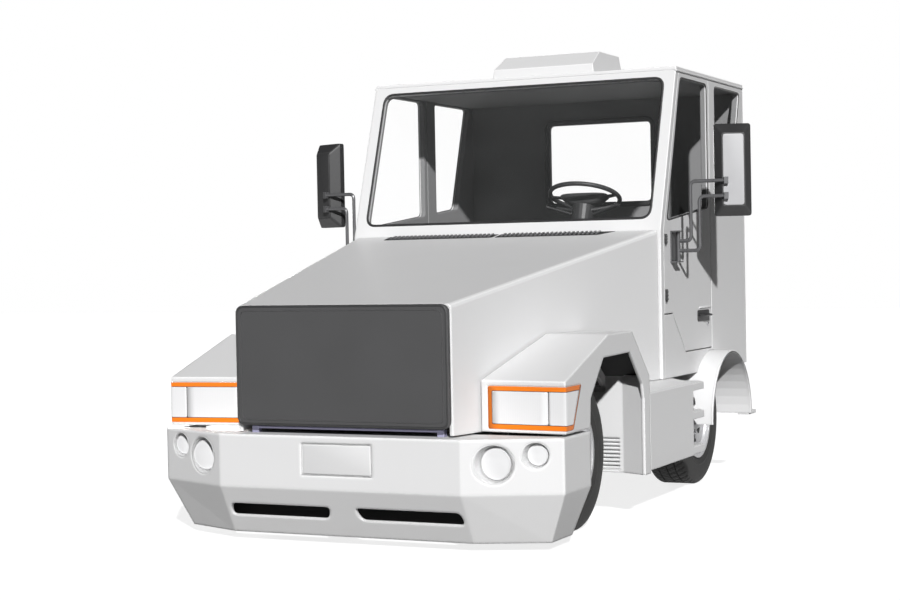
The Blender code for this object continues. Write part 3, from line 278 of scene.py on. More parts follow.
PLAIN = {  # name, dark, light, coarse, fine, depth, rough, ease, metallic, cells, glint
    "grille": ("grille_black", (0.048, 0.048, 0.049), (0.058, 0.058, 0.060), 3.0, 700.0, 0.0001, 0.55, 0.014),
    "plastic": (
        "moulded_plastic", (0.020, 0.020, 0.021), (0.034, 0.034, 0.035), 6.0, 900.0, 0.0001, 0.46, 0.006,
        0.0, True,
    ),
    "rubber": ("seal_rubber", (0.014, 0.014, 0.015), (0.026, 0.026, 0.027), 8.0, 500.0, 0.0001, 0.55),
    "tyre": ("tyre_rubber", (0.013, 0.013, 0.013), (0.030, 0.029, 0.028), 14.0, 260.0, 0.0003, 0.72, 0.004),
    "steel": (
        "chassis_black", (0.030, 0.030, 0.031), (0.075, 0.066, 0.060), 11.0, 180.0, 0.0002, 0.50, 0.005,
        0.25,
    ),
    "iron": (
        "cast_iron", (0.040, 0.039, 0.038), (0.110, 0.098, 0.088), 9.0, 120.0, 0.0006, 0.62, 0.006,
        0.35, True,
    ),
    "rim": ("rim_silver", (0.42, 0.42, 0.43), (0.56, 0.56, 0.57), 7.0, 300.0, 0.0001, 0.38, 0.004, 0.3),
    "lining": (
        "cab_lining", (0.05, 0.05, 0.052), (0.075, 0.075, 0.078), 5.0, 800.0, 0.0004, 0.88, 0.003,
        0.0, True,
    ),
    "bright": (
        "bright_steel", (0.50, 0.50, 0.52), (0.62, 0.62, 0.64), 20.0, 400.0, 0.00005, 0.28, 0.002, 0.9,
    ),
    "amber": (
        "amber_lens", (0.80, 0.180, 0.0), (0.84, 0.195, 0.0), 4.0, 160.0, 0.0001, 0.45, 0.002, 0.0, False,
        0.0,
    ),
    "red": ("red_lens", (0.45, 0.012, 0.010), (0.56, 0.022, 0.016), 4.0, 160.0, 0.0002, 0.20, 0.002),
    "stay": (
        "stay_grey", (0.085, 0.085, 0.088), (0.13, 0.13, 0.135), 12.0, 420.0, 0.0001, 0.36, 0.003, 0.35,
    ),
    # a pale grey for a mirror's front plate: a painted reflection
    "cover": ("mirror_plate_reflection", (0.40, 0.40, 0.41), (0.47, 0.47, 0.48), 4.0, 500.0, 0.0001, 0.5),
    "zinc": ("zinc_plate", (0.36, 0.35, 0.52), (0.46, 0.45, 0.62), 16.0, 300.0, 0.0001, 0.35, 0.003, 0.4),
    "slot": ("shadow_black", (0.006, 0.006, 0.006), (0.010, 0.010, 0.010), 9.0, 300.0, 0.0001, 0.7),
}
FINISHES.update({key: grained(*row) for key, row in PLAIN.items()})
print("plain finishes:", len(FINISHES))

# %% [markdown]
# Lamp glass, window glass and mirror glass are clear or silvered, so they need more than the
# recipe: lamp glass is pressed with upright ribs, window glass carries a faint film, and a
# mirror is bright metal under glass. Seat cloth is a plain weave: two sets of threads at
# right angles, worked out as two waves whose product is the over and under of the cloth.


# %% Glass and cloth
def lamp_glass():
    finish = Finish("lamp_glass", Coat_Weight=0.6, Coat_Roughness=0.05)
    x, y, z = finish.xyz()
    ribs = ((x + y) * 520.0).math("SINE") * 0.5 + 0.5
    cloud = finish.noise(6.0)
    colour = finish.blend(cloud * 0.5 + ribs * 0.15, (0.74, 0.74, 0.745), (0.66, 0.66, 0.67))
    return finish.set(
        Base_Color=colour, Roughness=0.16 + 0.08 * cloud, Normal=finish.bump(ribs, 0.0001),
    ).material


def window_glass():
    finish = Finish("window_glass", Metallic=0.0, IOR=1.5)
    film = finish.noise(3.0, 5.0)
    colour = finish.blend(film, (0.9, 0.92, 0.92), (0.75, 0.78, 0.78))
    return finish.set(
        Base_Color=colour, Roughness=0.02 + 0.04 * film, Alpha=0.006 + 0.012 * film,
    ).material


def mirror_glass():
    finish = Finish("mirror_glass", Metallic=1.0)
    film = finish.noise(30.0, 4.0)
    colour = finish.blend(film, (0.86, 0.88, 0.90), (0.78, 0.80, 0.82))
    return finish.set(Base_Color=colour, Roughness=0.02 + 0.05 * film).material


def seat_cloth():
    """A plain weave of 2.5 mm threads, darker between them, with a rubbed patch here and there."""
    finish = Finish("seat_cloth", Sheen_Weight=0.3, Sheen_Roughness=0.5)
    x, y, z = finish.xyz()
    warp = (x * 2500.0).math("SINE")
    weft = ((y + z * 0.8) * 2500.0).math("SINE")
    over = warp * weft * 0.5 + 0.5
    fleck = finish.noise(260.0, 2.0)
    rubbed = finish.noise(7.0)
    colour = finish.blend(over * 0.7 + fleck * 0.3, (0.022, 0.023, 0.027), (0.060, 0.062, 0.070))
    colour = finish.blend(rubbed * 0.35, colour, (0.085, 0.086, 0.092))
    normal = finish.bump(over * 0.8 + fleck * 0.4, 0.0005)
    return finish.set(Base_Color=colour, Roughness=0.82 + 0.12 * fleck, Normal=normal).material


def tread_plate():
    """Steel treads: raised lozenges in alternate directions, worn bright on top."""
    finish = Finish("tread_plate", Metallic=0.1)
    x, y, z = finish.xyz()
    one = ((x + y) * 170.0).math("SINE") * ((x - y) * 60.0).math("SINE")
    two = ((x - y) * 170.0).math("SINE") * ((x + y) * 60.0).math("SINE")
    lug = ((one.math("MAXIMUM", two) - 0.55) * 5.0).clamped()
    wear = finish.noise(14.0, 4.0)
    soft = finish.eased(0.004)
    colour = finish.blend(lug * 0.6 + wear * 0.2, PAINT, PAINT_HIGHLIGHT_AND_WEAR)
    colour = finish.blend((1 - lug) * wear * 0.35, colour, PAINT_DUSTY)
    return finish.set(
        Base_Color=colour, Roughness=0.45 - 0.15 * lug, Normal=finish.bump(lug, 0.0015, soft),
    ).material


FINISHES["lamp"] = lamp_glass()
FINISHES["glass"] = window_glass()
FINISHES["mirror"] = mirror_glass()
FINISHES["fabric"] = seat_cloth()
FINISHES["tread"] = tread_plate()
SLOT_OF = {
    name: name
    for name in (
        "paint", "grille", "plastic", "tyre", "steel", "iron", "rim", "lining", "lamp", "glass", "fabric",
    )
}
SLOT_OF.update(
    cab="paint", rubber="plastic", bright="steel", amber="lamp", red="lamp", slot="plastic",
    stay="steel", zinc="steel", cover="paint", bumper="paint", hood="paint", fender="paint",
    mirror="glass", tread="paint",
)
print("finishes:", sorted(FINISHES))

# %% [markdown]
# ## Finish on every CAD node
# The imported record says which material slot each node belongs to. The cab's own sheets take the
# paint that is darkened inside the cab as painted shade, the step boxes keep the paint, and
# everything else takes its slot's finish.

# %% Dress the nodes
CAB_SHEETS = (
    "cab_front", "cab_side_left", "cab_side_right", "cab_rear_wall", "cab_roof", "door_left",
    "door_right",
)
NODE_SLOT = {part["node"]: part["material_slot"] for part in frame["record"]["subparts"]}
OWN_FINISH = {
    "bumper": "bumper", "hood": "hood", "fender_left": "fender", "fender_right": "fender",
    "hood_hinge_bar": "zinc",
}
for name, node in NODES.items():
    finish = "cab" if name in CAB_SHEETS else OWN_FINISH.get(name, NODE_SLOT[name])
    node.data.materials.clear()
    node.data.materials.append(FINISHES[finish])
print("dressed", len(NODES), "nodes")

# %% [markdown]
# ## Surfaces from numpy
# Nearly every new piece is one of two shapes. A *skin* is a grid of points, a function of two
# parameters, closed round in one or both directions if the shape closes. A *slab* is a flat
# outline carried through a small rounded edge and closed by a face at each end, which is how a
# handle, a seal or a badge plate looks. Both come down to arrays of points and of quads.


# %% Grids of points
def finished(obj, finish, body):
    """Hand a piece over: its finish and the body it rides on."""
    obj.data.materials.clear()
    obj.data.materials.append(FINISHES[finish])
    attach(obj, body)
    return obj


def skin(
    name, points, finish, body="root", around=False, along=False, caps=False, smooth=True, angle=40,
):
    """A grid of points (rows, columns, 3) as quads: each cell joins a point to the next in its row
    and in its column; `around` closes the rows, `along` joins the last row to the first, and
    `caps` closes the first and last rows with a face. Grids of one shape may be stacked, as
    (copies, rows, columns, 3). y is measured from the bumper's face."""
    points = np.asarray(points, float)
    points = points.reshape(-1, *points.shape[-3:])
    copies, rows, columns = points.shape[:3]
    i, j = np.meshgrid(
        np.arange(rows if along else rows - 1), np.arange(columns if around else columns - 1),
        indexing="ij",
    )
    below, right = (i + 1) % rows, (j + 1) % columns
    quads = np.stack(
        [i * columns + j, i * columns + right, below * columns + right, below * columns + j], -1,
    )
    step = np.arange(copies)[:, None, None] * rows * columns
    faces = (quads.reshape(1, -1, 4) + step).reshape(-1, 4).tolist()
    if caps:
        ends = np.stack([np.arange(columns), np.arange(columns) + (rows - 1) * columns])
        faces += (ends + step).reshape(-1, columns).tolist()
    mesh = bpy.data.meshes.new(name)
    mesh.from_pydata((points.reshape(-1, 3) - (0, HALF_LENGTH, 0)).tolist(), [], faces)
    shape = bmesh.new()
    shape.from_mesh(mesh)
    bmesh.ops.remove_doubles(shape, verts=shape.verts, dist=1e-6)
    bmesh.ops.recalc_face_normals(shape, faces=shape.faces)
    shape.to_mesh(mesh)
    shape.free()
    if smooth:
        mesh.shade_smooth()
        mesh.set_sharp_from_angle(angle=math.radians(angle))
    obj = bpy.data.objects.new(name, mesh)
    bpy.context.scene.collection.objects.link(obj)
    return finished(obj, finish, body)


def rounded(corners, radius, steps=5):
    """A closed outline with its corners rounded: each corner P becomes the curve
    (1-t)^2 A + 2t(1-t) P + t^2 B, where A and B are radius away from P along its two edges."""
    corners = np.asarray(corners, float)
    before, after = np.roll(corners, 1, 0) - corners, np.roll(corners, -1, 0) - corners
    reach = np.asarray(radius, float).reshape(-1, 1)
    a = corners + before / np.linalg.norm(before, axis=1, keepdims=True) * reach
    b = corners + after / np.linalg.norm(after, axis=1, keepdims=True) * reach
    t = np.linspace(0, 1, steps + 1)[:, None, None]
    curve = (1 - t) ** 2 * a + 2 * t * (1 - t) * corners + t**2 * b
    return curve.transpose(1, 0, 2).reshape(-1, 2)


def box_outline(x0, x1, z0, z1):
    return [(x0, z0), (x1, z0), (x1, z1), (x0, z1)]


def shrunk(outline, by):
    """An outline moved inwards: each point moves along the mean of its two edges' normals."""
    outline = np.asarray(outline, float)
    ahead, behind = np.roll(outline, -1, 0) - outline, outline - np.roll(outline, 1, 0)
    normals = [
        np.stack([-e[:, 1], e[:, 0]], 1) / np.maximum(np.linalg.norm(e, axis=1, keepdims=True), 1e-9)
        for e in (ahead, behind)
    ]
    mean = normals[0] + normals[1]
    mean /= np.maximum(np.linalg.norm(mean, axis=1, keepdims=True), 1e-9)
    nextpoint = np.roll(outline, -1, 0)
    area = np.sum(outline[:, 0] * nextpoint[:, 1] - outline[:, 1] * nextpoint[:, 0])
    return outline + mean * by * np.sign(area)


def slab(name, outline, low, high, place, finish, body="root", edge=0.003, **options):
    """A flat outline carried from depth low to depth high with a quarter-round edge at high:
    at angle a the outline is shrunk by edge*(1-cos a) at depth high - edge*(1-sin a).
    `place` turns (across, up, depth) arrays into (x, y, z). A list of outlines makes one piece."""
    angles = np.linspace(0, math.pi / 2, 4)
    steps = [(0.0, low)] + [(edge * (1 - math.cos(a)), high - edge * (1 - math.sin(a))) for a in angles]
    outlines = outline if isinstance(outline, list) else [outline]
    copies = []
    for shape in outlines:
        rings = [(shrunk(shape, inset), depth) for inset, depth in steps]
        copies.append(
            [place(ring[:, 0], ring[:, 1], np.full(len(ring), depth)) for ring, depth in rings]
        )
    return skin(name, np.array(copies), finish, body, around=True, caps=True, **options)


def facing_front(y):
    """Depth 0 lies at y and grows towards the front."""
    return lambda across, up, depth: np.stack([across, y - depth, up], -1)


def facing_side(x, side):
    """Depth 0 lies at this distance from the middle and grows outwards; across runs rearwards."""
    return lambda across, up, depth: np.stack([side * (x + depth), across, up], -1)


def sweep(name, path, section, finish, body="root", closed=False, up=(0, 0, 1), **options):
    """A profile carried along a path: at each point the profile's two axes are across and over the
    path, where across = direction x up and over = across x direction."""
    path = np.asarray(path, float)
    if closed:
        direction = np.roll(path, -1, 0) - np.roll(path, 1, 0)
    else:
        direction = np.gradient(path, axis=0)
    direction /= np.linalg.norm(direction, axis=1, keepdims=True)
    across = np.cross(direction, np.asarray(up, float))
    across /= np.linalg.norm(across, axis=1, keepdims=True)
    over = np.cross(across, direction)
    section = np.asarray(section, float)
    points = path[:, None] + across[:, None] * section[None, :, :1] + over[:, None] * section[None, :, 1:]
    return skin(name, points, finish, body, around=True, along=closed, caps=not closed, **options)


def circle(radius, count=10, squash=1.0):
    a = np.linspace(0, 2 * math.pi, count, endpoint=False)
    return np.stack([np.cos(a) * radius, np.sin(a) * radius * squash], 1)


def lathe(name, profile, centre, axis, finish, body="root", steps=64, **options):
    """A profile (radius, along) turned about an axis: x, y or z."""
    a = np.linspace(0, 2 * math.pi, steps, endpoint=False)
    radius, along = np.asarray(profile, float).T
    one, two = np.outer(radius, np.cos(a)), np.outer(radius, np.sin(a))
    flat = np.repeat(along[:, None], steps, 1)
    order = {"x": (flat, one, two), "y": (one, flat, two), "z": (one, two, flat)}[axis]
    centres = np.asarray(centre, float).reshape(-1, 1, 1, 3)
    return skin(name, np.stack(order, -1) + centres, finish, body, around=True, **options)


print("surface tools ready")

# %% [markdown]
# ## Wrap-round headlamps
# Each lamp is one unit let into the fender's corner: a clear lens with a dark gap and an amber
# band round it that follow the corner from the front face to the side. It could be cut from a
# block, but a lens is a thin moulding that wraps, so each layer is a sheet in unrolled
# coordinates (s along the face, z up) that a function folds round the corner, then gets its
# thickness from Solidify.

# %% Headlamps
LAMP_INNER_X, CORNER_X, CORNER_Y, FRONT_SWEEP = 0.769, 1.244, 0.268, 0.117
LAMP_LOW, LAMP_HIGH = 0.653, 0.887
FRONT_RUN = math.hypot(CORNER_X - LAMP_INNER_X, (CORNER_X - LAMP_INNER_X) * FRONT_SWEEP)


def folded(s, z, out, side):
    """Unrolled (s, z) to the lamp's faces: s up to FRONT_RUN lies on the front, the rest on the side,
    and `out` stands off along the face's normal, easing from one to the other at the corner."""
    share = np.clip(s / FRONT_RUN, 0, 1)
    beyond = np.clip(s - FRONT_RUN, 0, None)
    turn = np.clip((s - FRONT_RUN + 0.006) / 0.012, 0, 1)
    x = LAMP_INNER_X + share * (CORNER_X - LAMP_INNER_X) + out * turn
    y = CORNER_Y + (1 - share) * (CORNER_X - LAMP_INNER_X) * FRONT_SWEEP + beyond - out * (1 - turn)
    return np.stack([side * x, y, z + 0 * s], -1)


def rear_edge(z):
    """s of the lamp's slanted rear edge on the side of the fender."""
    return FRONT_RUN + 0.103 + (z - LAMP_LOW) * 0.534


def seat_end(z):
    return rear_edge(z) - 0.023


def lens_end(z):
    return rear_edge(z) - 0.026


def divide(z):
    """s of the upright line between the headlamp's lens and its turn signal."""
    return 0 * z + 0.374


def lamp_sheet(name, start, stop, low, high, out, finish, side, radius=0.010, thick=0.003):
    """A sheet between z low and high from s = start to stop(z); near the top and bottom both ends
    draw in by r - sqrt(r^2 - (r - d)^2), a rounded corner, d being the distance to that edge."""
    near = (1 - np.cos(np.linspace(0, math.pi / 2, 6))) * radius
    z = np.concatenate(
        [low + near, np.linspace(low + radius, high - radius, 8)[1:-1], high - near[::-1]]
    )
    gap = np.clip(radius - np.minimum(z - low, high - z), 0, radius)
    drawn = radius - np.sqrt(np.maximum(radius**2 - gap**2, 0))
    left, right = start + drawn, stop(z) - drawn
    bend = FRONT_RUN + np.array([-0.006, -0.003, 0.0, 0.003, 0.006])
    u = np.linspace(0, 1, 8)
    if right.max() > FRONT_RUN + 0.006:
        front = left[:, None] + (bend[0] - left[:, None]) * u[None, :-1]
        rear = bend[-1] + (right[:, None] - bend[-1]) * u[None, 1:]
        s = np.concatenate([front, np.repeat(bend[None], len(z), 0), rear], 1)
    else:
        s = left[:, None] + (right - left)[:, None] * u[None]
    piece = skin(name, folded(s, z[:, None], out, side), finish)
    wall = piece.modifiers.new("wall", "SOLIDIFY")
    wall.thickness, wall.offset = thick, 0
    return piece


for side, word in SIDES.items():
    lamp_sheet(
        f"lamp_band_{word}", 0.0015, rear_edge, LAMP_LOW + 0.001, LAMP_HIGH - 0.001, 0.0015, "amber",
        side,
    )
    lamp_sheet(f"lamp_seat_{word}", 0.026, seat_end, 0.680, 0.862, 0.003, "rubber", side, 0.008)
    lamp_sheet(f"lamp_lens_{word}", 0.029, divide, 0.683, 0.859, 0.0045, "lamp", side, 0.007)
    lamp_sheet(f"lamp_turn_{word}", 0.378, lens_end, 0.683, 0.859, 0.0045, "lamp", side, 0.007)
print("headlamps: 2, each of 4 layers")

# %% [markdown]
# ## Round lamps in the bumper
# A work lamp and a marker lamp stand in cups at each corner of the bumper. A lamp is a turned
# part with a shallow domed glass, h (1 - r^2 / R^2). The cup starts on the slanted face, at its
# distance behind the nose for each point of the hole, and draws in to the lamp's rim.

# %% Bumper lamps and number plate
ROUND_LAMPS = ((0.906, 0.488, 0.104, 0.086), (1.109, 0.533, 0.069, 0.058))
FACE_SLOPE = 0.4415  # how far the corner face falls back for each metre outwards
for side, word in SIDES.items():
    for size, (x, z, hole, radius) in zip(("work", "marker"), ROUND_LAMPS):
        front = (x - 0.748) * FACE_SLOPE + 0.040
        r = np.linspace(radius * 0.93, 0, 8)
        dome = [(radius, 0.03), (radius, 0.0), (radius * 0.97, -0.005), (radius * 0.93, -0.004)]
        dome += [(a, -0.004 - 0.006 * (1 - (a / (radius * 0.93)) ** 2)) for a in r]
        lathe(f"{size}_lamp_{word}", dome, (side * x, front, z), "y", "lamp")
        a = np.linspace(0, 2 * math.pi, 48, endpoint=False)
        rings = []
        for share in np.linspace(0, 1, 6):
            reach = hole * 1.006 + (radius * 1.02 - hole * 1.006) * share**1.5
            outward = x + reach * np.cos(a)
            face = (outward - 0.748) * FACE_SLOPE - 0.001
            rings.append(
                np.stack(
                    [
                        side * outward, face + (front - face) * min(1.0, share * 1.25),
                        z + reach * np.sin(a),
                    ],
                    1,
                )
            )
        cup = skin(f"{size}_lamp_cup_{word}", np.array(rings), "bumper", around=True)
        wall = cup.modifiers.new("wall", "SOLIDIFY")
        wall.thickness, wall.offset = 0.002, 0
# painted shade: a near black sheet behind the chin slot stands in for the shade through it
chin_shade_outline = rounded(box_outline(-0.930, 0.930, 0.110, 0.290), 0.02)
slab("chin_slot_shade", chin_shade_outline, 0.0, 0.030, facing_front(0.330), "slot")
plate = rounded(box_outline(-0.212, 0.212, 0.412, 0.576), 0.008)
slab("number_plate", plate, -0.006, -0.0015, facing_front(0.0), "paint")
rim_line = np.stack(
    [plate[:, 0] * 1.018, np.full(len(plate), 0.002), (plate[:, 1] - 0.494) * 1.045 + 0.494], 1,
)
sweep("number_plate_frame", rim_line, circle(0.0018, 8), "paint", closed=True, up=(0, 1, 0))
print("bumper lamps: 4, and a blank number plate")

# %% [markdown]
# ## Window seals
# Glass is held by a rubber section pushed over the edge of the opening. It is a small rounded
# profile carried along the opening's outline, standing a few millimetres proud of the sheet.
# The windscreen leans back, so its outline is worked out in the plane of the glass and tilted.

# %% Seals
SCREEN_SLOPE = 0.3506
SCREEN_LEAN = math.atan(SCREEN_SLOPE)


def on_screen(across, up, depth):
    """Windscreen plane: `up` is the true height, and depth stands forward of the sheet."""
    y = 2.300 + (up - 1.740) * SCREEN_SLOPE - depth * math.cos(SCREEN_LEAN)
    return np.stack([across, y, up + depth * math.sin(SCREEN_LEAN)], -1)


def seal(name, outline, place, depth, half, finish="rubber", body="root", up=(0, 1, 0), tall=0.5):
    """A rounded section, 2*half wide, along an outline."""
    points = place(outline[:, 0], outline[:, 1], np.full(len(outline), depth))
    return sweep(name, points, circle(half, 10, tall), finish, body, closed=True, up=up)


screen_outline = rounded(box_outline(-1.022, 1.022, 1.818, 2.737), 0.07, 7)
seal("windscreen_seal", screen_outline, on_screen, -0.001, 0.009, up=(0, -1, SCREEN_SLOPE))
rear_outline = rounded(box_outline(-0.424, 0.424, 1.971, 2.599), 0.060, 7)
seal("rear_window_seal", rear_outline, facing_front(4.200), -0.004, 0.020, up=(0, 1, 0))
seal("rear_window_inner_seal", rear_outline, facing_front(4.168), 0.006, 0.019, up=(0, 1, 0))
DOOR_GLASS = [(2.438, 1.800), (3.322, 1.898), (3.322, 2.741), (2.744, 2.741)]
QUARTER_GLASS = [(3.498, 1.918), (3.866, 1.960), (4.122, 2.741), (3.498, 2.741)]
for side, word in SIDES.items():
    door_outline = rounded(DOOR_GLASS, 0.045, 6)
    seal(
        f"door_glass_seal_{word}", door_outline, facing_side(1.100, side), -0.002, 0.006,
        body=f"door_{word}", up=(1, 0, 0),
    )
    quarter_outline = rounded(QUARTER_GLASS, 0.045, 6)
    seal(
        f"quarter_glass_seal_{word}", quarter_outline, facing_side(1.100, side), -0.002, 0.005,
        up=(1, 0, 0),
    )
print("seals: windscreen, rear window, 2 doors, 2 quarter windows")

# %% [markdown]
# ## Cowl vent
# The cab breathes through a louvred strip at the back of the bonnet, in two halves. Each half is
# a dark tray with slanted ends, and slats lean across it. One slat is a slab; the row of slats
# is the same outline moved along, made in one grid of points.

# %% Vent
HOOD_SLOPE = (1.738 - 1.339) / (2.290 - 0.088)


def on_hood(across, back, depth):
    """The bonnet's top: `back` is y, and depth stands up from the sheet."""
    return np.stack([across, back, 1.738 + (back - 2.290) * HOOD_SLOPE + depth], -1)


TRAY_ENDS = {1: (0.725, 0.805), -1: (0.805, 0.815)}  # half width at the front and the rear of the strip
for side, word in SIDES.items():
    near, far = TRAY_ENDS[side]
    tray = [(side * 0.010, 2.284), (side * 0.010, 2.162), (side * near, 2.162), (side * far, 2.284)]
    slab(
        f"vent_tray_{word}", rounded(tray, 0.006, 3), -0.002, 0.0015, on_hood, "slot", "hood", edge=0.001,
    )
    start = np.arange(0.045, near - 0.01, 0.030) * side
    slat = np.array([(-0.012, 2.280), (0.002, 2.280), (0.014, 2.170), (0.0, 2.170)])
    shape = np.concatenate([on_hood(slat[:, 0], slat[:, 1], np.full(4, d)) for d in (0.0, 0.009)])
    cells = np.array(
        [(0, 1, 2, 3), (7, 6, 5, 4), (0, 4, 5, 1), (1, 5, 6, 2), (2, 6, 7, 3), (3, 7, 4, 0)]
    )
    points = (shape[None] + np.stack([start, 0 * start, 0 * start], 1)[:, None]).reshape(-1, 3)
    faces = (cells[None] + 8 * np.arange(len(start))[:, None, None]).reshape(-1, 4)
    mesh = bpy.data.meshes.new(f"vent_slats_{word}")
    mesh.from_pydata((points - (0, HALF_LENGTH, 0)).tolist(), [], faces.tolist())
    slats = bpy.data.objects.new(f"vent_slats_{word}", mesh)
    bpy.context.scene.collection.objects.link(slats)
    finished(slats, "stay", "hood")
print("vent slats a side:", len(start))

# %% [markdown]
# ## Bonnet, grille and roof trim
# Thin raised lines tell pressed sheet from a block: a frame inside the grille panel's edge, the
# drip gutter over the doors, and a row of bolts along the roof's front edge.

# %% Trim
groove = rounded(box_outline(-0.628, 0.628, 0.700, 1.309), 0.040, 6)
seal("grille_bead", groove, facing_front(0.0576), 0.0, 0.004, "grille", "hood", tall=0.6)
outer_bead = rounded(box_outline(-0.652, 0.652, 0.676, 1.332), 0.046, 6)
seal("grille_edge", outer_bead, facing_front(0.0576), 0.001, 0.0055, "plastic", "hood", tall=0.6)
for side, word in SIDES.items():
    gutter = [(side * 1.101, y, z) for y, z in ((2.662, 2.781), (3.2, 2.783), (3.8, 2.783), (4.19, 2.783))]
    sweep(f"gutter_{word}", gutter, circle(0.008, 8), "paint", up=(0, 0, 1))
rivet = [(0.012, 0.0), (0.012, 0.003), (0.007, 0.0055), (0.0, 0.006)]
lathe(
    "roof_rivets", rivet, [(x, 2.700, 2.807) for x in np.linspace(-0.93, 0.93, 10)], "z", "paint",
    steps=14,
)
print("trim: grille beads, gutters and rivets")

# %% [markdown]
# ## Door furniture
# The hinges are ribbed castings on the front edge, the handle is a black recess with a pull
# bar. All ride on the door, so they open with it.

# %% Doors
for side, word in SIDES.items():
    body = f"door_{word}"
    for i, (z, half) in enumerate(((1.681, 0.033), (1.321, 0.040))):
        leaf = rounded(box_outline(2.372, 2.408, z - half, z + half), 0.006, 3)
        slab(f"hinge_leaf_{word}_{i}", leaf, -0.002, 0.007, facing_side(1.100, side), "plastic", body)
        knuckles = [(0.0, -half)] + [
            (0.0085 if k % 2 else 0.006, -half + 2 * half * (k + d) / 7)
            for k in range(7) for d in (0.05, 0.95)
        ] + [(0.0, half)]
        lathe(
            f"hinge_pin_{word}_{i}", knuckles, (side * 1.112, 2.378, z), "z", "plastic", body, steps=16,
        )
    dish = rounded(box_outline(3.040, 3.300, 1.128, 1.205), 0.020)
    slab(f"handle_dish_{word}", dish, -0.002, 0.004, facing_side(1.100, side), "plastic", body)
    t = np.linspace(0, 1, 15)
    bow = 0.010 + 0.026 * np.clip(np.sin(math.pi * t) * 1.6, 0, 1)
    pull = np.stack([side * (1.100 + bow), 3.060 + 0.215 * t, np.full(15, 1.170)], 1)
    sweep(f"handle_pull_{word}", pull, circle(0.011, 10, 0.7), "plastic", body)
    lock = [(0.0, 0.0), (0.012, 0.0), (0.012, 0.006), (0.009, 0.008), (0.0, 0.008)]
    lathe(
        f"lock_{word}", [(r, side * a) for r, a in lock], (side * 1.102, 3.255, 1.105), "x", "bright",
        body, steps=20,
    )
    ledge = rounded(box_outline(3.085, 3.335, 1.214, 1.226), 0.004, 2)
    slab(f"door_ledge_{word}", ledge, -0.002, 0.006, facing_side(1.100, side), "paint", body)
print("door furniture on both doors")

# %% [markdown]
# ## Mirrors
# A mirror is a moulded housing with the glass on its rear face. On the left mirror the front plate
# is pale grey, a painted reflection, and on the right one it is dark plastic. Cover and glass are
# slabs in the housing's own turned axes.

# %% Mirrors
MIRROR_PLACE, MIRROR_YAW = (1.475, 2.646, 2.118), math.radians(22)


def in_mirror(side, back=False):
    """across/up/depth from the housing's middle: depth runs forward, or back from its rear face."""

    def place(across, up, depth):
        if back:
            depth = -0.035 - depth
        x = MIRROR_PLACE[0] + across * math.cos(MIRROR_YAW) + depth * math.sin(MIRROR_YAW)
        y = MIRROR_PLACE[1] + across * math.sin(MIRROR_YAW) - depth * math.cos(MIRROR_YAW)
        return np.stack([side * x, y, MIRROR_PLACE[2] + up], -1)

    return place


for side, word in SIDES.items():
    place, body = in_mirror(side), f"door_{word}"
    cover = rounded(box_outline(-0.066, 0.066, -0.227, 0.227), 0.020)
    # painted reflection: the left mirror's front plate is pale grey, the right one's dark
    slab(f"mirror_cover_{word}", cover, 0.058, 0.0645, place, "cover" if side > 0 else "plastic", body)
    glass = rounded(box_outline(-0.102, 0.102, -0.281, 0.281), 0.020)
    rear = in_mirror(side, back=True)
    slab(f"mirror_glass_{word}", glass, -0.002, 0.002, rear, "mirror", body, edge=0.0015)
    rim_points = rear(glass[:, 0] * 1.05, glass[:, 1] * 1.02, np.full(len(glass), 0.001))
    sweep(
        f"mirror_rim_{word}", rim_points, circle(0.006, 8), "plastic", body, closed=True,
        up=(math.sin(MIRROR_YAW) * side, -math.cos(MIRROR_YAW), 0),
    )
    NODES[f"mirror_arm_{word}"].data.materials[0] = FINISHES["stay"]
print("mirrors: covers, glasses and rims")

# %% [markdown]
# ## Steering wheel
# The rim is a closed ring carried round the column's axis. The hub is a deep bowl whose sections
# are rounded boxes, |cos|^0.6 across and |sin|^0.6 along, and two spokes taper out to the rim.

# %% Steering wheel
WHEEL_MIDDLE, WHEEL_TILT = (0.400, 2.800, 1.985), math.radians(20)


def on_wheel(across, up, depth):
    """The wheel's plane: `up` runs away from the driver and depth rises along the axis to them."""
    y = WHEEL_MIDDLE[1] - up * math.cos(WHEEL_TILT) + depth * math.sin(WHEEL_TILT)
    z = WHEEL_MIDDLE[2] + up * math.sin(WHEEL_TILT) + depth * math.cos(WHEEL_TILT)
    return np.stack([WHEEL_MIDDLE[0] + across, y, z], -1)


a = np.linspace(0, 2 * math.pi, 96, endpoint=False)
ring = on_wheel(0.236 * np.cos(a), 0.236 * np.sin(a), 0 * a)
axis = (0, math.sin(WHEEL_TILT), math.cos(WHEEL_TILT))
rim = sweep("steering_rim", ring, circle(0.0155, 12), "plastic", "steering_wheel", closed=True, up=axis)
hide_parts("steering_wheel")
BOWL = np.array([
    (-0.070, 0.050, 0.040), (-0.066, 0.085, 0.045), (-0.050, 0.118, 0.050), (-0.030, 0.147, 0.054),
    (-0.012, 0.168, 0.058), (-0.002, 0.172, 0.060), (0.005, 0.166, 0.056), (0.009, 0.110, 0.038),
    (0.010, 0.040, 0.020),
])
boxed = np.sign(np.cos(a)) * np.abs(np.cos(a)) ** 0.6, np.sign(np.sin(a)) * np.abs(np.sin(a)) ** 0.6
bowl = [
    on_wheel(half * boxed[0], length * boxed[1], np.full(len(a), depth)) for depth, half, length in BOWL
]
skin("steering_bowl", np.array(bowl), "plastic", "steering_wheel", around=True, caps=True)
for side, word in SIDES.items():
    t = np.linspace(0, 1, 7)
    blade = on_wheel(side * (0.07 + 0.19 * t), -0.02 + 0.05 * t, -0.125 + 0.045 * t)
    sweep(f"stalk_{word}", blade, circle(0.017, 12, 0.55), "plastic", up=axis)
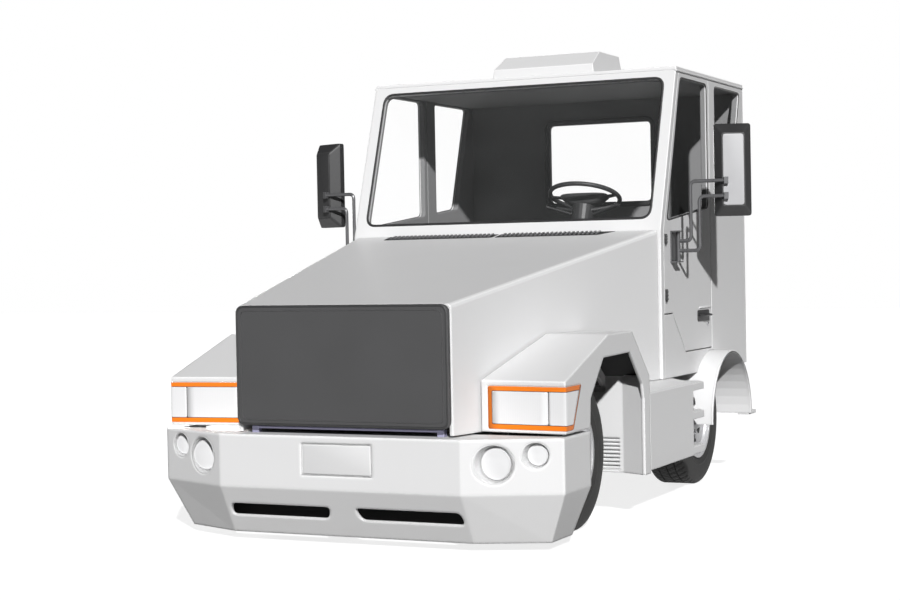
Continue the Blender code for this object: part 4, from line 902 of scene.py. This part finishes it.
for side, word in SIDES.items():
    t = np.linspace(0, 1, 9)
    spine = on_wheel(side * (0.06 + 0.17 * t), 0.005 + 0.01 * t, -0.022 + 0.020 * t)
    widths = 0.042 - 0.024 * t
    around = circle(1.0, 12)
    blade = spine[:, None] + np.stack(
        [0 * around[:, 0], -around[:, 0] * math.cos(WHEEL_TILT), around[:, 0] * math.sin(WHEEL_TILT)], 1,
    )[None] * widths[:, None, None]
    blade = blade + np.asarray(axis)[None, None] * around[None, :, 1:] * 0.008
    skin(f"steering_spoke_{word}", blade, "plastic", "steering_wheel", around=True, caps=True)
print("steering wheel: rim, bowl and two spokes; two stalks on the column")

# %% [markdown]
# ## Tyres and rims
# A tyre is a turned carcass with tread cut into it. Both come from one function of two
# parameters: `u` runs over the section from bead to bead and `a` round the wheel. Where u lies
# on the crown, the radius drops by the depth of the grooves: three run round the tyre, and
# cross grooves are spaced evenly in a, bent into a chevron by the distance from the middle.

# %% Wheels
SIDEWALL = np.array([
    (0.2510, 0.1215), (0.2630, 0.1225), (0.2690, 0.1310), (0.2850, 0.1375), (0.3000, 0.1405),
    (0.3020, 0.1420), (0.3080, 0.1420), (0.3100, 0.1405), (0.3350, 0.1420), (0.3600, 0.1420),
    (0.3800, 0.1405), (0.3960, 0.1385), (0.4100, 0.1345), (0.4220, 0.1275), (0.4310, 0.1180),
    (0.4370, 0.1080),
])
CROWN = np.array([0.1000, 0.0800, 0.0660, 0.0650, 0.0560, 0.0550, 0.0300, 0.0060, 0.0050])
BLOCKS, GROOVE = 54, 0.011
along = np.concatenate([SIDEWALL[:, 1], CROWN, -CROWN[::-1], -SIDEWALL[::-1, 1]])
radius = np.concatenate([SIDEWALL[:, 0], np.full(2 * len(CROWN), 0.4395), SIDEWALL[::-1, 0]])
a = np.linspace(0, 2 * math.pi, BLOCKS * 6, endpoint=False)
ring_groove = (np.abs(np.abs(along) - 0.0605) < 0.005) | (np.abs(along) < 0.0055)
phase = (a[None] * BLOCKS / (2 * math.pi) + np.abs(along)[:, None] * 14.0) % 1.0
cross_groove = (phase < 0.20) & (radius[:, None] > 0.425)
depth = np.where(ring_groove[:, None], GROOVE, np.where(cross_groove, GROOVE * 0.8, 0.0))
worn = radius[:, None] - depth
RIM_PROFILE = [
    (0.2500, 0.1180), (0.2610, 0.1240), (0.2610, 0.1295), (0.2520, 0.1300), (0.2410, 0.1210),
    (0.2360, 0.1050), (0.2300, 0.0960), (0.2150, 0.0935), (0.1950, 0.0990), (0.1700, 0.0960),
    (0.1300, 0.0800), (0.1180, 0.0790), (0.1150, 0.0850), (0.0800, 0.0850), (0.0760, 0.0880),
    (0.0720, 0.1120), (0.0600, 0.1220), (0.0300, 0.1270), (0.0, 0.1280),
]
NUT = [(0.0135, 0.0), (0.0135, 0.016), (0.0115, 0.018), (0.007, 0.018), (0.007, 0.026), (0.0, 0.027)]
WHEEL_X, AXLES = 0.8675, {"front": 1.060, "rear": 3.350}
for side, word in SIDES.items():
    for end, axle_y in AXLES.items():
        body, middle = f"wheel_{end}_{word}", np.array([side * WHEEL_X, axle_y, 0.440])
        tread = np.stack(
            [side * along[:, None] + 0 * worn, worn * np.cos(a), worn * np.sin(a)], -1,
        ) + middle
        tyre = skin(f"tread_{end}_{word}", tread, "tyre", body, around=True, along=True, angle=28)
        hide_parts(f"tyre_{end}_{word}")
        face = [(r, side * x) for r, x in RIM_PROFILE]
        lathe(f"rim_face_{end}_{word}", face, middle, "x", "rim", body, steps=72)
        spots = np.linspace(0, 2 * math.pi, 10, endpoint=False)
        nuts = middle + np.stack(
            [0 * spots + side * 0.079, 0.097 * np.cos(spots), 0.097 * np.sin(spots)], 1,
        )
        lathe(
            f"nuts_{end}_{word}", [(r, side * x) for r, x in NUT], nuts, "x", "bright", body, steps=6,
            smooth=False,
        )
        holes = []
        for spot in np.linspace(0, 2 * math.pi, 8, endpoint=False) + 0.2:
            out = np.array([math.cos(spot), math.sin(spot)])
            around = np.array([-math.sin(spot), math.cos(spot)])
            oval = circle(0.024, 20, 0.62)
            holes.append(oval[:, :1] * around + oval[:, 1:] * out + out * 0.152 + (axle_y, 0.440))
        slab(
            f"hand_holes_{end}_{word}", holes, 0.070, 0.0925, facing_side(WHEEL_X, side), "slot", body,
            edge=0.001,
        )
print("tyres:", len(along), "x", len(a), "points each")

# %% [markdown]
# ## Seats
# Two sprung seats share a pattern: a flat cushion with a rolled front edge and a backrest. Each
# is sewn from woven cloth over foam, so it is swelled by the cloth simulation: a slightly
# smaller closed shape is remeshed, blown up from inside with gravity off, and no point may move
# further than a cap. The seams are piping laid round afterwards, where the panels meet.

# %% Cushions
def swollen(obj, cap, frames=20):
    """Remesh, inflate, cap each point's movement at `cap` metres, and keep the result as mesh."""
    scene = bpy.context.scene
    remesh = obj.modifiers.new("remesh", "REMESH")
    remesh.mode, remesh.voxel_size = "VOXEL", 0.0065
    graph = bpy.context.evaluated_depsgraph_get()
    dense = bpy.data.meshes.new_from_object(obj.evaluated_get(graph))
    obj.modifiers.clear()
    obj.data = dense
    before = np.empty(len(dense.vertices) * 3)
    dense.vertices.foreach_get("co", before)
    cloth = obj.modifiers.new("cloth", "CLOTH")
    cloth.settings.use_pressure, cloth.settings.uniform_pressure_force = True, 4.0
    cloth.settings.effector_weights.gravity = 0.0
    cloth.settings.quality = 4
    for step in range(1, frames + 1):
        scene.frame_set(step)
    graph = bpy.context.evaluated_depsgraph_get()
    blown = bpy.data.meshes.new_from_object(obj.evaluated_get(graph))
    scene.frame_set(1)
    obj.modifiers.clear()
    after = np.empty(len(before))
    blown.vertices.foreach_get("co", after)
    move = (after - before).reshape(-1, 3)
    length = np.linalg.norm(move, axis=1, keepdims=True)
    held = before.reshape(-1, 3) + move * np.minimum(1.0, cap / np.maximum(length, 1e-9))
    blown.vertices.foreach_set("co", held.ravel())
    obj.data = blown
    blown.shade_smooth()


def cushion(name, outline, half_width, middle_x, edge=0.035):
    """A side outline (y, z) carried across the seat, drawing in at both ends by a quarter round."""
    angles = np.linspace(0, math.pi / 2, 5)
    insets = np.concatenate([(1 - np.sin(angles)) * edge, ((1 - np.sin(angles)) * edge)[::-1]])
    across = np.concatenate(
        [-half_width + edge - np.cos(angles) * edge, (half_width - edge + np.cos(angles) * edge)[::-1]]
    )
    order = np.argsort(across)
    rows = [
        np.stack([np.full(len(outline), middle_x + across[k]), *shrunk(outline, insets[k]).T], 1)
        for k in order
    ]
    pad = skin(name, np.array(rows), "fabric", around=True, caps=True)
    swollen(pad, 0.012)
    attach(pad, "root")
    smoother = pad.modifiers.new("smooth", "SUBSURF")
    smoother.levels = smoother.render_levels = 1
    return pad


SEAT_Y = 3.150
BASE = rounded(
    [(SEAT_Y + 0.012, 1.316), (SEAT_Y + 0.400, 1.316), (SEAT_Y + 0.405, 1.400), (SEAT_Y + 0.012, 1.408)],
    0.030, 4,
)
BACK = rounded(
    [(SEAT_Y + 0.408, 1.425), (SEAT_Y + 0.462, 1.425), (SEAT_Y + 0.545, 1.788), (SEAT_Y + 0.480, 1.788)],
    0.024, 4,
)
for side, word in SIDES.items():
    base = cushion(f"seat_base_{word}", BASE, 0.226, side * 0.42)
    rest = cushion(f"seat_back_{word}", BACK, 0.218, side * 0.42, 0.028)
    for pad in (base, rest):
        pad.data.materials.clear()
        pad.data.materials.append(FINISHES["fabric"])
    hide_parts(f"seat_pad_{word}")
    for i, offset in enumerate((-0.115, 0.115)):
        x = side * 0.42 + offset
        seam = [
            (x, SEAT_Y + 0.03, 1.4135), (x, SEAT_Y + 0.15, 1.4150), (x, SEAT_Y + 0.28, 1.4140),
            (x, SEAT_Y + 0.38, 1.4110),
        ]
        sweep(f"seat_seam_{word}_{i}", seam, circle(0.0035, 8), "rubber")
print("seats: two bases and two backs, swollen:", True)

# %% [markdown]
# ## Steps, rear plate and lights behind
# The steps have raised-pattern treads, and the rear plate carries the tail lights, a row of
# bolts and the two buffers beside the towing jaw.

# %% Steps and rear
def lying(z):
    """Depth 0 lies at this height and grows upwards; across is x and up is y."""
    return lambda across, up, depth: np.stack([across, up, z + depth], -1)


def on_guard(x, radius):
    """One line of the mudguard: a half circle about the rear axle at this width and radius."""
    return np.stack([0 * ARC + x, 3.350 - radius * np.cos(ARC), 0.452 + radius * np.sin(ARC)], 1)


def behind(side):
    """The rear plate's face: depth grows rearwards."""
    return lambda across, up, depth: np.stack([side * across, 4.3304 + depth, up], -1)


ARC = np.linspace(0, math.pi, 49)
GUARD_X = (0.740, 0.760, 1.220, 1.236, 1.244)
for side, word in SIDES.items():
    sheets = []
    for radius, widths in ((0.4700, GUARD_X), (0.4550, GUARD_X[::-1])):
        sheets += [on_guard(side * x, radius - (0.003 if x > 1.23 else 0.0)) for x in widths]
    outline = np.array(sheets).transpose(1, 0, 2)
    skin(f"guard_sheet_{word}", outline, "paint", around=True, caps=True)
    sweep(f"guard_bead_{word}", on_guard(side * 1.238, 0.4650), circle(0.0075, 10), "paint", up=(1, 0, 0))
for side, word in SIDES.items():
    for i, top in enumerate((0.347, 0.568, 0.752)):
        edge = np.array(
            [(0.872, 2.475), (1.232, 2.475), (1.232, 2.690), (1.196, 2.732), (0.872, 2.732)]
        ) * (side, 1)
        slab(
            f"tread_{word}_{i}", rounded(edge, 0.014, 4), -0.002, 0.003, lying(top), "tread", edge=0.002,
        )
    # painted shade: the wedges under the treads take the near black finish for the shade beneath them
    wedges = [
        np.array([(2.468, top - 0.044), (2.600, top - 0.044), (2.468, top - 0.125)])
        for top in (0.568, 0.752)
    ]
    slab(f"tread_gussets_{word}", wedges, 0.0, 0.012, facing_side(1.190, side), "slot")
    tail = rounded(box_outline(0.500, 0.740, 0.600, 0.700), 0.018)
    slab(f"tail_light_seat_{word}", tail, -0.002, 0.014, behind(side), "plastic", edge=0.004)
    for i, (x0, x1, finish) in enumerate(
        ((0.508, 0.578, "lamp"), (0.584, 0.654, "red"), (0.660, 0.732, "amber"))
    ):
        slab(
            f"tail_light_{word}_{i}", rounded(box_outline(x0, x1, 0.608, 0.692), 0.012), 0.010, 0.024,
            behind(side), finish, edge=0.006,
        )
    bolt = [
        (0.018, 0.0), (0.018, 0.004), (0.0125, 0.004), (0.0125, 0.013), (0.0105, 0.015), (0.0, 0.015),
    ]
    places = [(side * x, 4.330, z) for x in (0.16, 0.40, 0.70) for z in (0.42, 0.76)]
    lathe(f"plate_bolts_{word}", bolt, places, "y", "bright", steps=12)
    buffer = [(0.052, 0.0), (0.052, 0.012), (0.040, 0.016), (0.040, 0.070), (0.034, 0.078), (0.0, 0.080)]
    lathe(f"buffer_{word}", buffer, (side * 0.28, 4.330, 0.60), "y", "rubber", steps=32)
print("treads: 6, tail lights: 2, buffers: 2")

# %% [markdown]
# ## Dashboard and pedals
# In front of the driver are a binnacle with round gauges, and air vents; three pedals hang under.
# All are small slabs and turned rings on the dashboard's own faces.

# %% Cab fittings
def on_dash(across, up, depth):
    """The dashboard's face towards the seats, which leans by 0.11 for each metre up."""
    return np.stack([across, 2.668 + depth + (up - 1.6) * 0.11, up], -1)


def on_sole(across, up, depth):
    """A pedal's sole, tilted 30 degrees from upright."""
    return np.stack([across, 2.66 + up * 0.5 + depth * 0.87, 1.05 + up * 0.87 - depth * 0.5], -1)


for side, word in SIDES.items():
    for i, x in enumerate((0.12, 0.88)):
        vent = rounded(box_outline(side * x - 0.07, side * x + 0.07, 1.590, 1.650), 0.012)
        slab(f"air_vent_{word}_{i}", vent, -0.004, 0.010, on_dash, "slot", edge=0.003)
        fins = [
            np.array(box_outline(side * x - 0.062, side * x + 0.062, z - 0.002, z + 0.002))
            for z in (1.602, 1.614, 1.626, 1.638)
        ]
        slab(f"air_vent_fins_{word}_{i}", fins, 0.008, 0.014, on_dash, "plastic", edge=0.0008)
binnacle = rounded([(2.520, 1.764), (2.640, 1.760), (2.672, 1.800), (2.600, 1.812)], 0.012, 4)
HOOD_ENDS = ((0.17, 0.012), (0.19, 0.0), (0.61, 0.0), (0.63, 0.012))
cross = [np.stack([np.full(len(binnacle), x), *shrunk(binnacle, inset).T], 1) for x, inset in HOOD_ENDS]
skin("binnacle", cross, "plastic", around=True, caps=True)
for i, (x, radius) in enumerate(((0.24, 0.030), (0.335, 0.042), (0.465, 0.042), (0.56, 0.030))):
    gauge = [(radius, 0.0), (radius, 0.010), (radius * 0.9, 0.012), (radius * 0.86, 0.004), (0.0, 0.004)]
    lathe(f"gauge_{i}", gauge, (x, 2.676, 1.665), "y", "bright", steps=32)
    lathe(
        f"gauge_face_{i}", [(radius * 0.86, 0.0), (radius * 0.86, 0.006), (0.0, 0.0065)],
        (x, 2.676, 1.665), "y", "slot", steps=32,
    )
for i, x in enumerate((0.28, 0.42, 0.54)):
    shaft = [(x, 2.42, 1.300), (x, 2.50, 1.18), (x, 2.62, 1.08), (x, 2.66, 1.05)]
    sweep(f"pedal_arm_{i}", shaft, circle(0.010, 8), "steel", up=(1, 0, 0))
    slab(
        f"pedal_{i}", rounded(box_outline(x - 0.035, x + 0.035, -0.045, 0.045), 0.010), -0.004, 0.012,
        on_sole, "rubber",
    )
print("dashboard: 4 vents, 4 gauges; 3 pedals")

# %% [markdown]
# ## Light, floor and camera
# A pale floor and a plain white surround, one strong key light from the front left of the
# vehicle, a weaker fill from the far rear corner and a low, even light from all round. The
# camera stands at head height beyond the front corner on the driver's side, with a medium
# telephoto lens.

# %% Studio
FLOOR_REACH = 40.0
corner = np.array([[-1, -1], [1, -1], [1, 1], [-1, 1]]) * FLOOR_REACH
mesh = bpy.data.meshes.new("floor")
FLOOR_DROP = 0.0005  # keeps the tyres' lowest points clear of the floor
mesh.from_pydata([(x, y, -FLOOR_DROP) for x, y in corner.tolist()], [], [(0, 1, 2, 3)])
floor = bpy.data.objects.new("floor", mesh)
bpy.context.scene.collection.objects.link(floor)
floor_finish = Finish("studio_floor", roughness=0.9, Emission_Strength=0.80)
tone = floor_finish.noise(0.6)
floor_finish.set(
    Base_Color=floor_finish.blend(tone, (0.30, 0.30, 0.30), (0.34, 0.34, 0.34)),
    Emission_Color=(1, 1, 1, 1),
)
mesh.materials.append(floor_finish.material)
floor.visible_diffuse = False

world = bpy.data.worlds.new("studio")
bpy.context.scene.world = world
world.use_nodes = True
sky, links = world.node_tree.nodes, world.node_tree.links
back = sky["Background"]
back.inputs["Color"].default_value = (1, 1, 1, 1)
back.inputs["Strength"].default_value = 0.045
white = sky.new("ShaderNodeBackground")
white.inputs["Color"].default_value = (1, 1, 1, 1)
white.inputs["Strength"].default_value = 1.0
path, choose = sky.new("ShaderNodeLightPath"), sky.new("ShaderNodeMixShader")
links.new(path.outputs["Is Camera Ray"], choose.inputs[0])
links.new(back.outputs[0], choose.inputs[1])
links.new(white.outputs[0], choose.inputs[2])
links.new(choose.outputs[0], sky["World Output"].inputs["Surface"])

for name, toward, energy in (("key", (0.456, -0.763, 0.456), 4.55), ("fill", (-0.55, 0.83, 0.06), 1.0)):
    lamp = bpy.data.lights.new(name, "SUN")
    lamp.energy, lamp.angle = energy, math.radians(1.5 if name == "key" else 12)
    light = bpy.data.objects.new(name, lamp)
    light.rotation_euler = Vector(toward).to_track_quat("Z", "Y").to_euler()
    bpy.context.scene.collection.objects.link(light)

YAW, PITCH, ROLL = (math.radians(angle) for angle in (25.3836, 1.2227, -1.1166))
forward = Vector((-math.sin(YAW) * math.cos(PITCH), math.cos(YAW) * math.cos(PITCH), -math.sin(PITCH)))
right = Vector((math.cos(YAW), math.sin(YAW), 0))
upward = right.cross(forward)
turned_right = right * math.cos(ROLL) + upward * math.sin(ROLL)
turned_up = upward * math.cos(ROLL) - right * math.sin(ROLL)
lens = bpy.data.cameras.new("camera")
lens.sensor_width = 36.0
lens.lens = 71.688
camera = bpy.data.objects.new("camera", lens)
axes = Matrix((turned_right, turned_up, -forward)).transposed()
camera.matrix_world = Matrix.Translation((4.757, -10.787, 1.563)) @ axes.to_4x4()
bpy.context.scene.collection.objects.link(camera)
bpy.context.scene.camera = camera
bpy.context.scene.view_settings.view_transform = "Standard"
print("camera lens:", round(lens.lens, 2), "mm")
